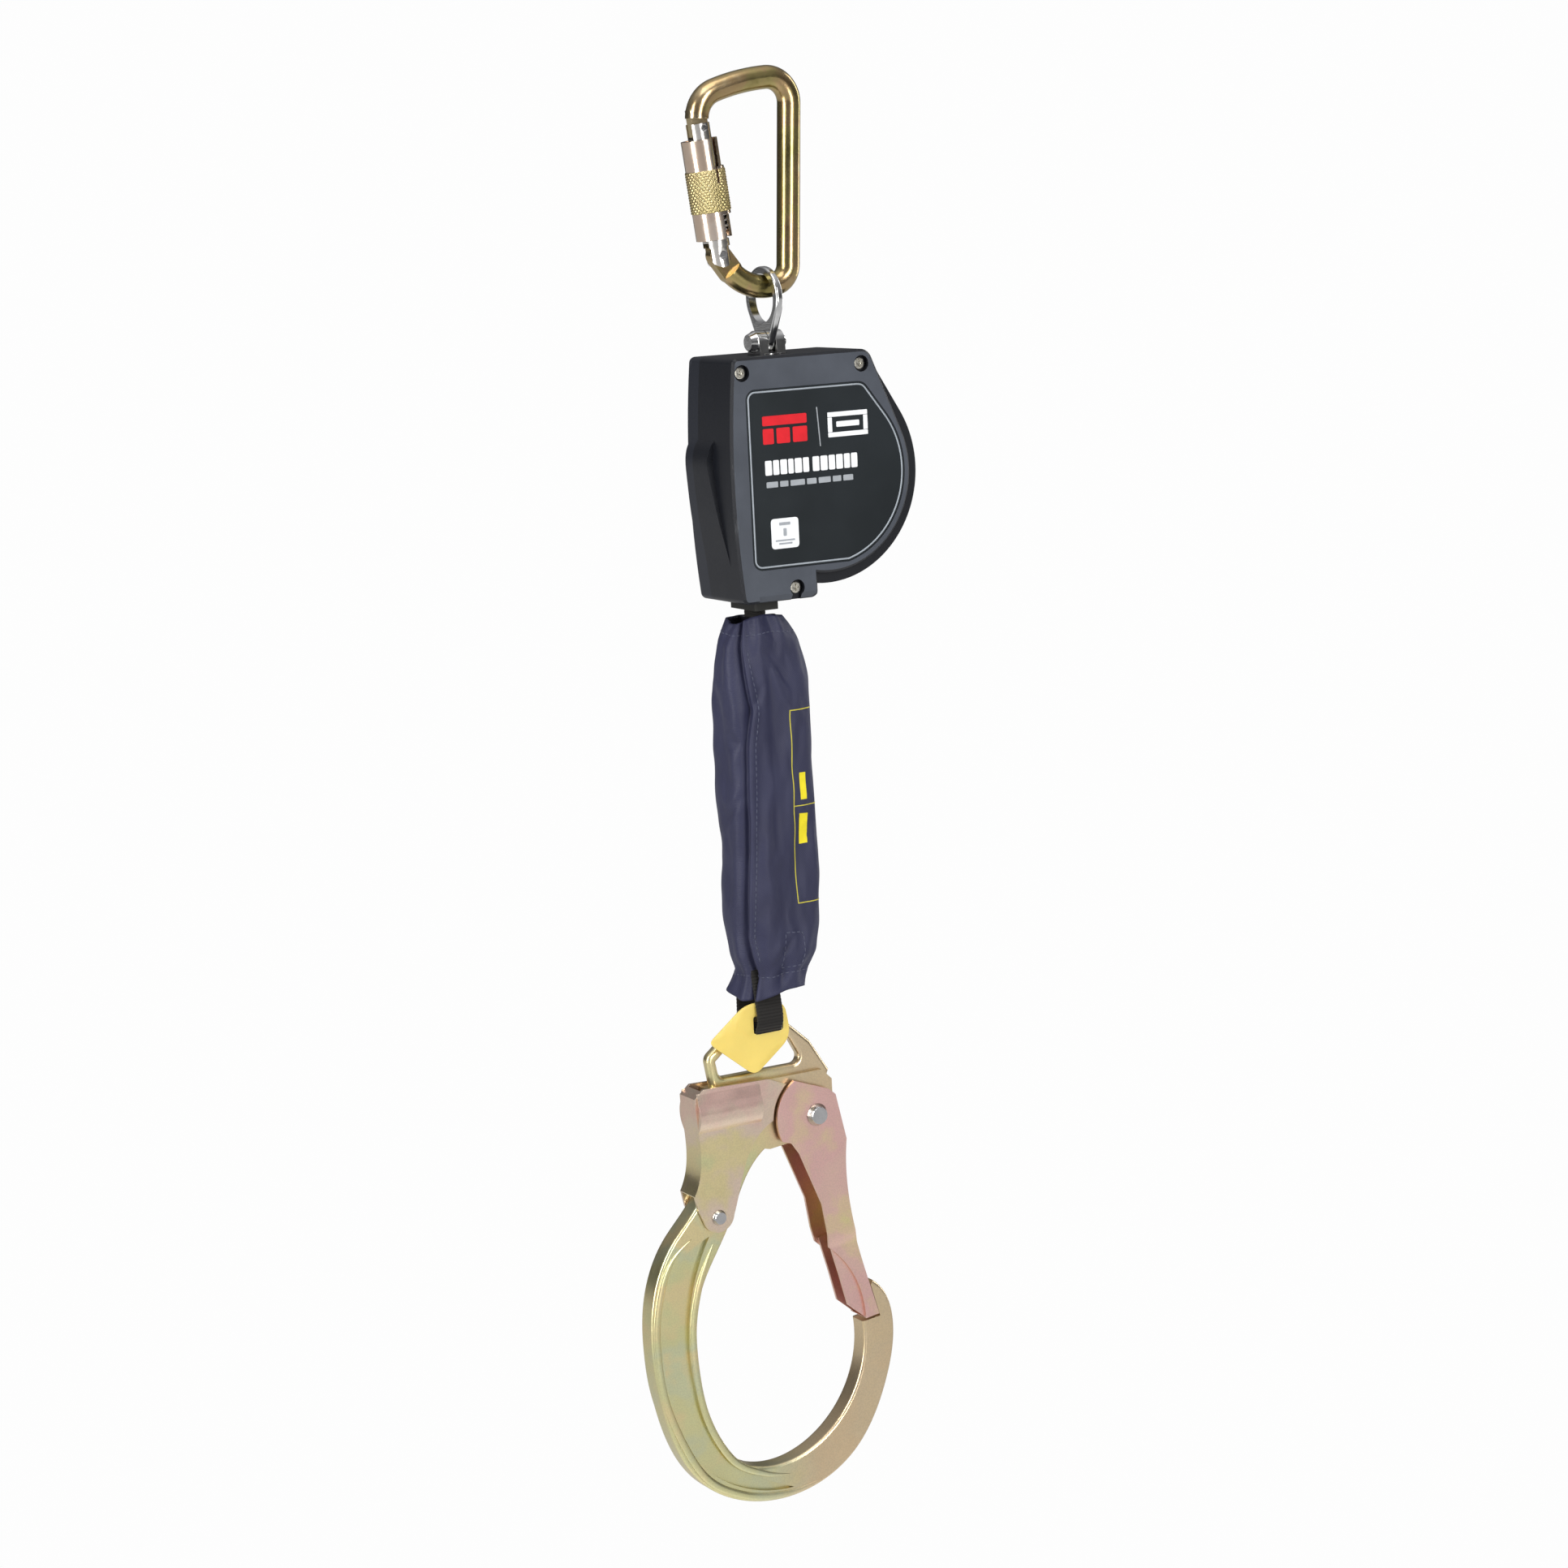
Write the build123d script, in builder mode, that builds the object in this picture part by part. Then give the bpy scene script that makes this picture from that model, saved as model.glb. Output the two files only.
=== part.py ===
from build123d import *
import os
from math import cos, radians, sin

# Self retracting lifeline: carabiner, swivel eye, D-shaped reel housing, shock-absorber pouch
# and a large rebar hook. Millimetres, +Z up, the front of the housing faces -Y.
# The origin is on the drum axis, at the housing's flat back.

# ---- driving dimensions -------------------------------------------------------------------
HOUSING_DEPTH = 43.5
HANG = 25.0                 # plane in which everything hangs, measured forward from the back
WALL = 2.4
CASE_R = 51.4               # round side of the housing
BAND_R = 46.2               # proud front band of the round side
BOW_CENTRE = (2.1, -0.4)
STEP_DEEP = 3.6             # the rim round the band lies this much deeper
CASE_TOP = 57.2
CASE_BOTTOM = -57.6
SCREW_SPOTS = [(-41.6, 50.2), (23.4, 50.4), (-17.2, -52.0)]
LOBE_R = 6.8                # lobe round the right-hand screw
BOSS_R = 4.0
SCREW_R = 1.4
SCREW_DEEP = 14.0           # how far the cover screws bite into the rear cover

SHAFT_R = 5.0
RUNNING_GAP = 0.05
WEB_WIDTH = 19.0
WEB_THICK = 1.3
WEB_ROLL_R = 29.5
WEB_X = -30.55              # the lifeline leaves the roll here and runs straight down
FLANGE_R = 33.0
FLANGE_THICK = 1.4
TOOTH_COUNT = 12

SWIVEL_X = -17.0
RIVET_Z = 63.0
RING_R = 14.8
RING_THICK = 3.8

ROD_R = 5.5
BEND_CENTRE = (-16.5, 113.2)
BEND_R = 24.5
HINGE = (-40.6, 104.5)
GATE_LEAN = 7.0             # the gate leans this many degrees from upright
TONGUE_THICK = 5.0
GATE_R = 5.5
SLEEVE_R = 9.0
SLEEVE_LOW = 7.6
SLEEVE_HIGH = 53.6
SLEEVE_BORE_R = 7.2
GATE_TOP = 61.0
GATE_BORE_R = 2.6
GATE_RIVET_R = 2.0
LATCH_PIN_AT = 58.6
LATCH_PIN_R = 1.5
NOSE_CLEAR_R = 55.3         # the nose tongue stays outside this radius round the hinge

POUCH_TOP = -65.6
POUCH_BOTTOM = -248.5
POUCH_X = -30.0
POUCH_WALL = 1.4

HOOK_THICK = 11.0
CHANNEL_DEEP = 2.0
HOOK_RIVET_R = 4.0
LEVER_RIVET_R = 2.5
EYE_THICK = 6.0
EYE_ROUND = 2.2
EYE_AXIS_Z = -261.0
EYE_AXIS_X = -40.0
GATE_PIVOT = (-15.0, -310.5)
LEVER_PIVOT = (-71.0, -352.0)
GATE_INSIDE = 7.7
GATE_SHEET = 1.5
JOGGLE_STEP = 1.8           # the hook gate's cheeks step in by this much towards its tip
LEVER_INSIDE = 5.9
LEVER_SHEET = 1.5
LOBE_GATE_R = 22.3


def at(depth):
    """Upright plane facing forward, depth in front of the flat back (local x is X, y is Z)."""
    return Plane.XZ.offset(depth)


def across(x):
    """Plane square to X (local x is Y, local y is Z)."""
    return Plane.YZ.offset(x)


def hung_across(x):
    """Plane square to X whose local x is measured from the hanging plane."""
    return Plane(origin=(x, -HANG, 0), x_dir=(0, 1, 0), z_dir=(1, 0, 0))


def level(z):
    return Plane.XY.offset(z)


def polar(centre, radius, angle):
    return (centre[0] + radius * cos(radians(angle)), centre[1] + radius * sin(radians(angle)))


def gate_face(depth):
    """Upright plane turned with the leaning carabiner gate: local y runs up the gate from its hinge."""
    lean = radians(GATE_LEAN)
    origin = (HINGE[0], -depth, HINGE[1])
    return Plane(origin=origin, x_dir=(cos(lean), 0, sin(lean)), z_dir=(0, -1, 0))


GATE_AXIS = Plane(
    origin=(HINGE[0], -HANG, HINGE[1]),
    x_dir=(cos(radians(GATE_LEAN)), 0, sin(radians(GATE_LEAN))),
    z_dir=(-sin(radians(GATE_LEAN)), 0, cos(radians(GATE_LEAN))),
)

os.makedirs("parts", exist_ok=True)

# ============================================================================ housing shells

LEFT_CORNER_X = -46.0
LEFT_BOW_X = -49.5          # the left wall bows out to here at mid height
FLOOR_BLOCK_X = -5.6        # right-hand end of the floor block


def square_side(inset):
    """Left part of the outline: flat top, gently bowed left wall and the floor block."""
    with BuildSketch(mode=Mode.PRIVATE) as block:
        with BuildLine():
            top_corner = (LEFT_CORNER_X + inset, CASE_TOP - inset)
            low_corner = (LEFT_CORNER_X + inset, CASE_BOTTOM + inset)
            ThreePointArc(top_corner, (LEFT_BOW_X + inset, 0), low_corner)
            Polyline(
                low_corner,
                (FLOOR_BLOCK_X - inset, CASE_BOTTOM + inset),
                (FLOOR_BLOCK_X - inset, -42.0),
                (8.0, -20.0),
                (SCREW_SPOTS[1][0], CASE_TOP - inset),
                top_corner,
            )
        make_face()
        fillet(block.vertices().group_by(Axis.X)[0], 3.0 - inset / 2)
        fillet(block.vertices().group_by(Axis.Y)[0].sort_by(Axis.X)[-1], 3.0 - inset / 2)
    return block.sketch


def round_side(radius, inset):
    """Right part of an outline: a round bow drawn out round the upper right-hand screw."""
    with BuildSketch(mode=Mode.PRIVATE) as bow:
        with Locations(BOW_CENTRE):
            Circle(radius - inset)
        with Locations(SCREW_SPOTS[1]):
            Circle(LOBE_R - inset)
        make_hull()
        with Locations((80.0, 0)):
            Rectangle(200.0, 200.0, mode=Mode.INTERSECT)
    return bow.sketch


def case_outline(inset):
    """D-shaped outline of the housing."""
    with BuildSketch() as outline:
        add(round_side(CASE_R, inset))
        add(square_side(inset))
        notch = outline.vertices().filter_by_position(Axis.Y, -53, -46)
        fillet(notch.filter_by_position(Axis.X, -9, -5), 1.5)
    return outline.sketch


def band_outline(inset):
    """Outline of the proud front band, inside the stepped rim of the bowed side."""
    with BuildSketch() as outline:
        add(round_side(BAND_R, inset))
        add(square_side(inset))
    return outline.sketch


CASE = case_outline(0)
CAVITY = case_outline(WALL)
BAND = band_outline(0)
BAND_CAVITY = band_outline(WALL)
NOZZLE_SIZE = (13.0, 24.0)
SWIVEL_PORT_R = 9.4
BACK_ROUND = 2.8
PLATE_BED = 0.6
HEAD_SINK = 3.4
HEAD_RECESS_R = 3.9
PLATE_ARC_R = 43.6


def plate_outline():
    """Name plate: round on the right with a drawn-out upper corner, straight on the left."""
    with BuildSketch() as outline:
        with Locations((1.4, 0)):
            Circle(PLATE_ARC_R)
        with Locations((21.0, 36.0)):
            Circle(6.2)
        make_hull()
        with Locations((50.0, 0)):
            Rectangle(120.0, 84.6, mode=Mode.INTERSECT)
        with BuildSketch(mode=Mode.PRIVATE) as square:
            with Locations((-15.2, 0)):
                Rectangle(50.4, 84.6)
            fillet(square.vertices().group_by(Axis.X)[0], 5.0)
        add(square.sketch)
    return outline.sketch


PLATE = plate_outline()


def screw_spots(radius):
    """A round of the given radius at each cover screw."""
    with BuildSketch() as spots:
        for spot in SCREW_SPOTS:
            with Locations(spot):
                Circle(radius)
    return spots.sketch


# what is cut from the covers: the swivel's round port in the roof, the web guide's in the floor
with BuildPart() as ports:
    with BuildSketch(level(40.0)):
        with Locations((SWIVEL_X, -HANG)):
            Circle(SWIVEL_PORT_R)
    extrude(amount=30.0)
    with BuildSketch(level(CASE_BOTTOM - 5)):
        with Locations((WEB_X, -HANG)):
            Rectangle(NOZZLE_SIZE[0] + 0.2, NOZZLE_SIZE[1] + 0.2)
    extrude(amount=14.0)

# raised grip pad on the left wall: its front edge slopes forward towards the floor
with BuildPart() as grip_pad:
    with BuildSketch(at(5.0)):
        with BuildLine():
            swell = Spline(
                (-48.4, 19.6), (-51.3, 15.6), (-52.5, 2.0), (-51.3, -14.0), (-49.7, -27.0), (-46.6, -48.0)
            )
            Polyline(swell @ 1, (-40.0, -48.0), (-40.0, 19.6), swell @ 0)
        make_face()
    extrude(amount=34.0)
    with BuildSketch(across(-60.0)):
        Polygon((0, 20.0), (-27.5, 20.0), (-25.5, 8.0), (-38.5, -56.0), (0, -56.0), align=None)
    extrude(amount=30.0, mode=Mode.INTERSECT)


with BuildPart() as rear_cover:
    with BuildSketch(at(0)):
        add(CASE)
    extrude(amount=HANG)
    fillet(rear_cover.faces().sort_by(Axis.Y)[-1].edges(), BACK_ROUND)
    add(split(grip_pad.part, bisect_by=at(HANG), keep=Keep.BOTTOM, mode=Mode.PRIVATE))
    with BuildSketch(at(WALL)):
        add(CAVITY)
    extrude(amount=HANG, mode=Mode.SUBTRACT)
    with BuildSketch(at(WALL)):
        add(screw_spots(BOSS_R))
    extrude(amount=HANG - WALL)
    with BuildSketch(at(HANG - SCREW_DEEP)):
        add(screw_spots(SCREW_R))
    extrude(amount=SCREW_DEEP, mode=Mode.SUBTRACT)
    add(ports.part, mode=Mode.SUBTRACT)

with BuildPart() as front_cover:
    with BuildSketch(at(HANG)):
        add(CASE)
    extrude(amount=HOUSING_DEPTH - STEP_DEEP - HANG)
    with BuildSketch(at(HOUSING_DEPTH - STEP_DEEP)):
        add(BAND)
    extrude(amount=STEP_DEEP)
    chamfer(front_cover.faces().sort_by(Axis.Y)[0].outer_wire().edges(), 1.2)
    add(split(grip_pad.part, bisect_by=at(HANG), keep=Keep.TOP, mode=Mode.PRIVATE))
    with BuildSketch(at(HANG)):
        add(CAVITY)
    extrude(amount=HOUSING_DEPTH - STEP_DEEP - WALL - HANG, mode=Mode.SUBTRACT)
    with BuildSketch(at(HANG)):
        add(BAND_CAVITY)
    extrude(amount=HOUSING_DEPTH - WALL - HANG, mode=Mode.SUBTRACT)
    # shallow bed for the name plate
    with BuildSketch(at(HOUSING_DEPTH - PLATE_BED)):
        add(PLATE)
    extrude(amount=PLATE_BED, mode=Mode.SUBTRACT)
    with BuildSketch(at(HANG)):
        add(screw_spots(BOSS_R))
    extrude(amount=HOUSING_DEPTH - WALL - HANG)
    with BuildSketch(at(HOUSING_DEPTH - HEAD_SINK)):
        add(screw_spots(HEAD_RECESS_R))
    extrude(amount=HEAD_SINK, mode=Mode.SUBTRACT)
    with BuildSketch(at(HANG)):
        add(screw_spots(SCREW_R + 0.2))
    extrude(amount=HOUSING_DEPTH, mode=Mode.SUBTRACT)
    # half-open notch below the lowest screw, and the bevelled lip of the floor block
    with BuildSketch(at(HOUSING_DEPTH - HEAD_SINK)):
        with Locations((SCREW_SPOTS[2][0], CASE_BOTTOM)):
            Rectangle(5.0, 8.0)
    extrude(amount=HEAD_SINK, mode=Mode.SUBTRACT)
    with BuildSketch(across(-38.0)):
        Polygon(
            (-HOUSING_DEPTH - 1.0, -53.0),
            (-HOUSING_DEPTH + 3.0, CASE_BOTTOM - 1.0),
            (-60.0, CASE_BOTTOM - 1.0),
            align=None,
        )
    extrude(amount=34.0, mode=Mode.SUBTRACT)
    add(ports.part, mode=Mode.SUBTRACT)

with BuildPart() as name_plate:
    with BuildSketch(at(HOUSING_DEPTH - PLATE_BED)):
        add(PLATE)
        offset(amount=-0.1, mode=Mode.REPLACE)
    extrude(amount=PLATE_BED - 0.1)

# pan-head screws with a cross recess
with BuildPart() as cover_screws:
    with BuildSketch(at(HANG - SCREW_DEEP)):
        add(screw_spots(SCREW_R))
    extrude(amount=HOUSING_DEPTH - HEAD_SINK - HANG + SCREW_DEEP)
    with BuildSketch(at(HOUSING_DEPTH - HEAD_SINK)):
        add(screw_spots(2.6))
    extrude(amount=1.5)
    with BuildSketch(at(HOUSING_DEPTH - HEAD_SINK + 0.6)):
        with Locations(*SCREW_SPOTS):
            Rectangle(3.2, 0.7)
            Rectangle(0.7, 3.2)
    extrude(amount=2.0, mode=Mode.SUBTRACT)

# web guide: a square funnel through the floor with a collar inside it
with BuildPart() as web_guide:
    with BuildSketch(level(CASE_BOTTOM - 4.2)):
        with Locations((WEB_X, -HANG)):
            RectangleRounded(*NOZZLE_SIZE, 1.2)
    extrude(amount=4.2 + WALL)
    with BuildSketch(level(CASE_BOTTOM + WALL)):
        with Locations((WEB_X, -HANG)):
            Rectangle(NOZZLE_SIZE[0] + 2.4, NOZZLE_SIZE[1] + 2.4)
    extrude(amount=1.6)
    with BuildSketch(level(CASE_BOTTOM - 5)):
        with Locations((WEB_X, -HANG)):
            RectangleRounded(4.6, WEB_WIDTH + 1.2, 1.0)
    extrude(amount=12.0, mode=Mode.SUBTRACT)

# ============================================================================ frame and drum

STEM_R = 4.5
BRIDGE_LOW = 48.4
BRIDGE_HIGH = 52.4
BRACKET_REAR = 2.6
BRACKET_FRONT = 41.0
BRACKET_SHEET = 2.0

CIRCLIP_THICK = 0.6
CIRCLIP_DEPTHS = (BRACKET_REAR + BRACKET_SHEET + 0.1, BRACKET_FRONT - BRACKET_SHEET - CIRCLIP_THICK - 0.1)
GROOVE_R = SHAFT_R - 0.5

with BuildPart() as anchor_bracket:
    for depth in (BRACKET_REAR, BRACKET_FRONT - BRACKET_SHEET):
        with BuildSketch(at(depth)):
            Circle(11.0)
            with Locations((SWIVEL_X - 8.0, BRIDGE_LOW)):
                Circle(2.0)
            with Locations((SWIVEL_X + 8.0, BRIDGE_LOW)):
                Circle(2.0)
            make_hull()
            Circle(SHAFT_R, mode=Mode.SUBTRACT)
        extrude(amount=BRACKET_SHEET)
    with BuildSketch(level(BRIDGE_LOW)):
        with Locations((SWIVEL_X, -(BRACKET_REAR + BRACKET_FRONT) / 2)):
            Rectangle(20.0, BRACKET_FRONT - BRACKET_REAR)
        with Locations((SWIVEL_X, -HANG)):
            Circle(STEM_R + RUNNING_GAP, mode=Mode.SUBTRACT)
    extrude(amount=BRIDGE_HIGH - BRIDGE_LOW)

with BuildPart() as main_shaft:
    with BuildSketch(at(BRACKET_REAR)):
        Circle(SHAFT_R)
    extrude(amount=BRACKET_FRONT - BRACKET_REAR)
    for depth in CIRCLIP_DEPTHS:
        with BuildSketch(at(depth)):
            Circle(SHAFT_R)
            Circle(GROOVE_R, mode=Mode.SUBTRACT)
        extrude(amount=CIRCLIP_THICK, mode=Mode.SUBTRACT)

with BuildPart() as shaft_circlips:
    for depth in CIRCLIP_DEPTHS:
        with BuildSketch(at(depth)):
            Circle(SHAFT_R + 1.4)
            Circle(GROOVE_R, mode=Mode.SUBTRACT)
            with Locations((0, -SHAFT_R)):
                Rectangle(5.0, SHAFT_R, mode=Mode.SUBTRACT)
        extrude(amount=CIRCLIP_THICK)

ROLL_REAR = HANG - WEB_WIDTH / 2
ROLL_FRONT = HANG + WEB_WIDTH / 2
REAR_FLANGE = ROLL_REAR - 0.4 - FLANGE_THICK
FRONT_FLANGE = ROLL_FRONT + 0.4
BUSH_R = SHAFT_R + 1.2
BUSH_LONG = 7.0
CORE_R = 14.0

with BuildPart() as drum:
    with BuildSketch(at(REAR_FLANGE)):
        Circle(FLANGE_R)
        Circle(BUSH_R, mode=Mode.SUBTRACT)
    extrude(amount=FLANGE_THICK)
    with BuildSketch(at(REAR_FLANGE + FLANGE_THICK)):
        Circle(CORE_R)
        Circle(BUSH_R, mode=Mode.SUBTRACT)
    extrude(amount=FRONT_FLANGE - REAR_FLANGE - FLANGE_THICK)
    fillet(drum.faces().sort_by(Axis.Y)[-1].outer_wire().edges(), 0.5)

PAWL_R = 25.5
PAWL_DEPTH = FRONT_FLANGE + FLANGE_THICK + 0.2
PAWL_THICK = 2.2
PAWL_PIN_R = 2.0

with BuildPart() as drum_front_flange:
    with BuildSketch(at(FRONT_FLANGE)):
        Circle(FLANGE_R)
        Circle(BUSH_R, mode=Mode.SUBTRACT)
        with PolarLocations(PAWL_R, 2, start_angle=90):
            Circle(PAWL_PIN_R, mode=Mode.SUBTRACT)
        with PolarLocations(20.0, 4, start_angle=20):
            Circle(3.2, mode=Mode.SUBTRACT)
    extrude(amount=FLANGE_THICK)

with BuildPart() as pawl_pins:
    with BuildSketch(at(FRONT_FLANGE)):
        with PolarLocations(PAWL_R, 2, start_angle=90):
            Circle(PAWL_PIN_R)
    extrude(amount=PAWL_DEPTH + PAWL_THICK - FRONT_FLANGE)

with BuildPart() as shaft_bushes:
    for depth in (REAR_FLANGE, FRONT_FLANGE + FLANGE_THICK - BUSH_LONG):
        with BuildSketch(at(depth)):
            Circle(BUSH_R)
            Circle(SHAFT_R + RUNNING_GAP, mode=Mode.SUBTRACT)
        extrude(amount=BUSH_LONG)

with BuildPart() as web_roll:
    with BuildSketch(at(ROLL_REAR)):
        Circle(WEB_ROLL_R)
        Circle(CORE_R + 0.1, mode=Mode.SUBTRACT)
    extrude(amount=WEB_WIDTH)

PAWL_TIP = (-14.7, 3.1)     # from the pawl's own pivot


def pawl_profile():
    """Pawl seen from the front, its pivot at the local origin and its tip to the left."""
    with BuildSketch(mode=Mode.PRIVATE) as profile:
        Circle(3.7)
        with Locations((PAWL_TIP[0] + 1.4, PAWL_TIP[1] - 1.0)):
            Circle(1.6)
        make_hull()
        with Locations((4.5, -1.2)):
            Circle(2.2)
        make_hull()
        Circle(PAWL_PIN_R + RUNNING_GAP, mode=Mode.SUBTRACT)
    return profile.sketch


def pawl_plane(turn):
    """Plane at one pawl's pivot; turn is its place round the drum, anticlockwise from the top."""
    x, z = polar((0, 0), PAWL_R, 90 + turn)
    level_dir = (cos(radians(turn)), 0, sin(radians(turn)))
    return Plane(origin=(x, -PAWL_DEPTH, z), x_dir=level_dir, z_dir=(0, -1, 0))


with BuildPart() as pawl_a:
    with BuildSketch(pawl_plane(0)):
        add(pawl_profile())
    extrude(amount=PAWL_THICK)

with BuildPart() as pawl_b:
    with BuildSketch(pawl_plane(180)):
        add(pawl_profile())
    extrude(amount=PAWL_THICK)

TOOTH_ROOT_R = 39.5
TOOTH_HIGH = 4.5
RATCHET_R = 43.0

with BuildPart() as ratchet_ring:
    with BuildSketch(at(PAWL_DEPTH)):
        Circle(RATCHET_R)
        Circle(TOOTH_ROOT_R, mode=Mode.SUBTRACT)
        with PolarLocations(TOOTH_ROOT_R, TOOTH_COUNT, start_angle=7.0):
            Polygon((0.6, -3.0), (0.6, 3.6), (-TOOTH_HIGH, 0.8), (-TOOTH_HIGH, -0.6), align=None)
    extrude(amount=PAWL_THICK)

SPRING_DEPTH = 5.5
SPRING_WIDTH = 7.2
SPRING_PITCH = 3.0
SPRING_SHEET = 0.7
SPRING_HALF_TURNS = 13

# flat spiral motor spring, wound from half rings on two alternating centres
with BuildPart() as motor_spring:
    with BuildSketch(at(SPRING_DEPTH)):
        for half in range(SPRING_HALF_TURNS):
            ring_r = SHAFT_R + 0.6 + (half + 1) * SPRING_PITCH / 2
            side = 1 if half % 2 == 0 else -1
            with BuildSketch(mode=Mode.PRIVATE) as half_ring:
                Circle(ring_r + SPRING_SHEET / 2)
                Circle(ring_r - SPRING_SHEET / 2, mode=Mode.SUBTRACT)
                with Locations((0, -side * 50.0)):
                    Rectangle(100.0, 100.0, mode=Mode.SUBTRACT)
            with Locations((side * SPRING_PITCH / 4, 0)):
                add(half_ring.sketch)
        with Locations((-SHAFT_R - 0.9, 0)):
            Rectangle(2.0, SPRING_SHEET)
    extrude(amount=SPRING_WIDTH)
    with BuildSketch(at(SPRING_DEPTH)):
        Circle(SHAFT_R)
    extrude(amount=SPRING_WIDTH, mode=Mode.SUBTRACT)

# ============================================================================ swivel and ring

FORK_GAP = RING_THICK + 0.5
FORK_THICK = 4.8
RING_RIVET_R = 2.5

with BuildPart() as swivel_fork:
    with BuildSketch(level(BRIDGE_LOW - 3.0)):
        with Locations((SWIVEL_X, -HANG)):
            Circle(STEM_R)
    extrude(amount=BRIDGE_HIGH - BRIDGE_LOW + 3.4)
    with BuildSketch(level(BRIDGE_HIGH + 0.2)):
        with Locations((SWIVEL_X, -HANG)):
            Circle(7.2)
    extrude(amount=5.0)
    for side in (-1, 1):
        inner = SWIVEL_X + side * FORK_GAP / 2
        with BuildSketch(across(inner)):
            with Locations((-HANG, RIVET_Z)):
                Circle(5.4)
            with Locations((-HANG, BRIDGE_HIGH + 4.0)):
                Rectangle(11.6, 3.0)
            make_hull()
        extrude(amount=side * FORK_THICK)
    with BuildSketch(across(SWIVEL_X - 20)):
        with Locations((-HANG, RIVET_Z)):
            Circle(RING_RIVET_R + RUNNING_GAP)
    extrude(amount=40, mode=Mode.SUBTRACT)

RIVET_REACH = FORK_GAP / 2 + FORK_THICK

with BuildPart() as swivel_rivet:
    with BuildSketch(across(SWIVEL_X - RIVET_REACH)):
        with Locations((-HANG, RIVET_Z)):
            Circle(RING_RIVET_R)
    extrude(amount=2 * RIVET_REACH)
    with BuildSketch(across(SWIVEL_X - RIVET_REACH)):
        with Locations((-HANG, RIVET_Z)):
            Circle(5.2)
    extrude(amount=-3.2, taper=24)
    with BuildSketch(across(SWIVEL_X + RIVET_REACH)):
        with Locations((-HANG, RIVET_Z)):
            Circle(3.4)
    extrude(amount=2.4, taper=20)

with BuildPart() as swivel_nut:
    with BuildSketch(level(BRIDGE_LOW - 3.4)):
        with Locations((SWIVEL_X, -HANG)):
            RegularPolygon(7.0, 6)
            Circle(STEM_R, mode=Mode.SUBTRACT)
    extrude(amount=2.6)

with BuildPart() as swivel_washer:
    with BuildSketch(level(BRIDGE_LOW - 0.8)):
        with Locations((SWIVEL_X, -HANG)):
            Circle(8.0)
            Circle(STEM_R, mode=Mode.SUBTRACT)
    extrude(amount=0.7)

RING_Z = 83.3

with BuildPart() as eye_ring:
    with BuildSketch(across(SWIVEL_X - RING_THICK / 2)):
        with Locations((-HANG, RING_Z)):
            Circle(RING_R)
        with Locations((-HANG, RIVET_Z)):
            Circle(5.1)
        with Locations((-HANG, RING_Z - 8.0)):
            Circle(9.0)
        make_hull()
        with Locations((-HANG, RING_Z)):
            Ellipse(11.2, 11.6, mode=Mode.SUBTRACT)
        with Locations((-HANG, RIVET_Z)):
            Circle(RING_RIVET_R + RUNNING_GAP, mode=Mode.SUBTRACT)
    extrude(amount=RING_THICK)
    rim_faces = eye_ring.faces().filter_by(Axis.X)
    fillet(rim_faces[0].outer_wire().edges() + rim_faces[-1].outer_wire().edges(), 1.2)

# ============================================================================ carabiner

NOSE_SHOULDER = 177.0
SPINE_LEAN = 3.4
TOP_BEND_R = 11.7
CROWN_R = 110.0
NOSE_BEND_R = 14.0

with BuildPart() as carabiner_body:
    with BuildLine(at(HANG)) as rod_path:
        CenterArc(BEND_CENTRE, BEND_R, 222.0, 63.0)
        foot = polar(BEND_CENTRE, BEND_R - 9.5, 285.0)
        CenterArc(foot, 9.5, 285.0, 75.0 - SPINE_LEAN)
        spine_low = polar(foot, 9.5, -SPINE_LEAN)
        spine_high = polar(spine_low, 74.6, 90 - SPINE_LEAN)
        Line(spine_low, spine_high)
        crown = polar(spine_high, -TOP_BEND_R, -SPINE_LEAN)
        CenterArc(crown, TOP_BEND_R, -SPINE_LEAN, 90.0 + 2 * SPINE_LEAN)
        roof = polar(crown, TOP_BEND_R - CROWN_R, 90.0 + SPINE_LEAN)
        CenterArc(roof, CROWN_R, 90.0 + SPINE_LEAN, 14.6)
        shoulder = polar(roof, CROWN_R - NOSE_BEND_R, 108.0)
        CenterArc(shoulder, NOSE_BEND_R, 108.0, NOSE_SHOULDER - 108.0)
    with BuildSketch(Plane(origin=rod_path.wire() @ 0, z_dir=rod_path.wire() % 0)):
        Circle(ROD_R)
    sweep()
    # hinge tongue
    with BuildSketch(at(HANG - TONGUE_THICK / 2)):
        with Locations(HINGE):
            Circle(GATE_R - 0.1)
        with Locations(polar(BEND_CENTRE, BEND_R, 222.0)):
            Circle(ROD_R)
        make_hull()
        with Locations(HINGE):
            Circle(GATE_RIVET_R, mode=Mode.SUBTRACT)
    extrude(amount=TONGUE_THICK)
    # nose tongue: its toe is concentric with the hinge, so the gate swings clear below it
    with BuildSketch(gate_face(HANG - TONGUE_THICK / 2)):
        with Locations((0, 60.5)):
            Rectangle(8.4, 14.0)
        Circle(NOSE_CLEAR_R, mode=Mode.SUBTRACT)
        with Locations((5.0, LATCH_PIN_AT)):
            SlotCenterToCenter(10.0, 3.7, mode=Mode.SUBTRACT)
    extrude(amount=TONGUE_THICK)

with BuildPart() as gate_rivet:
    with BuildSketch(at(HANG - GATE_R + 0.2)):
        with Locations(HINGE):
            Circle(GATE_RIVET_R)
    extrude(amount=2 * GATE_R - 0.4)

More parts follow.
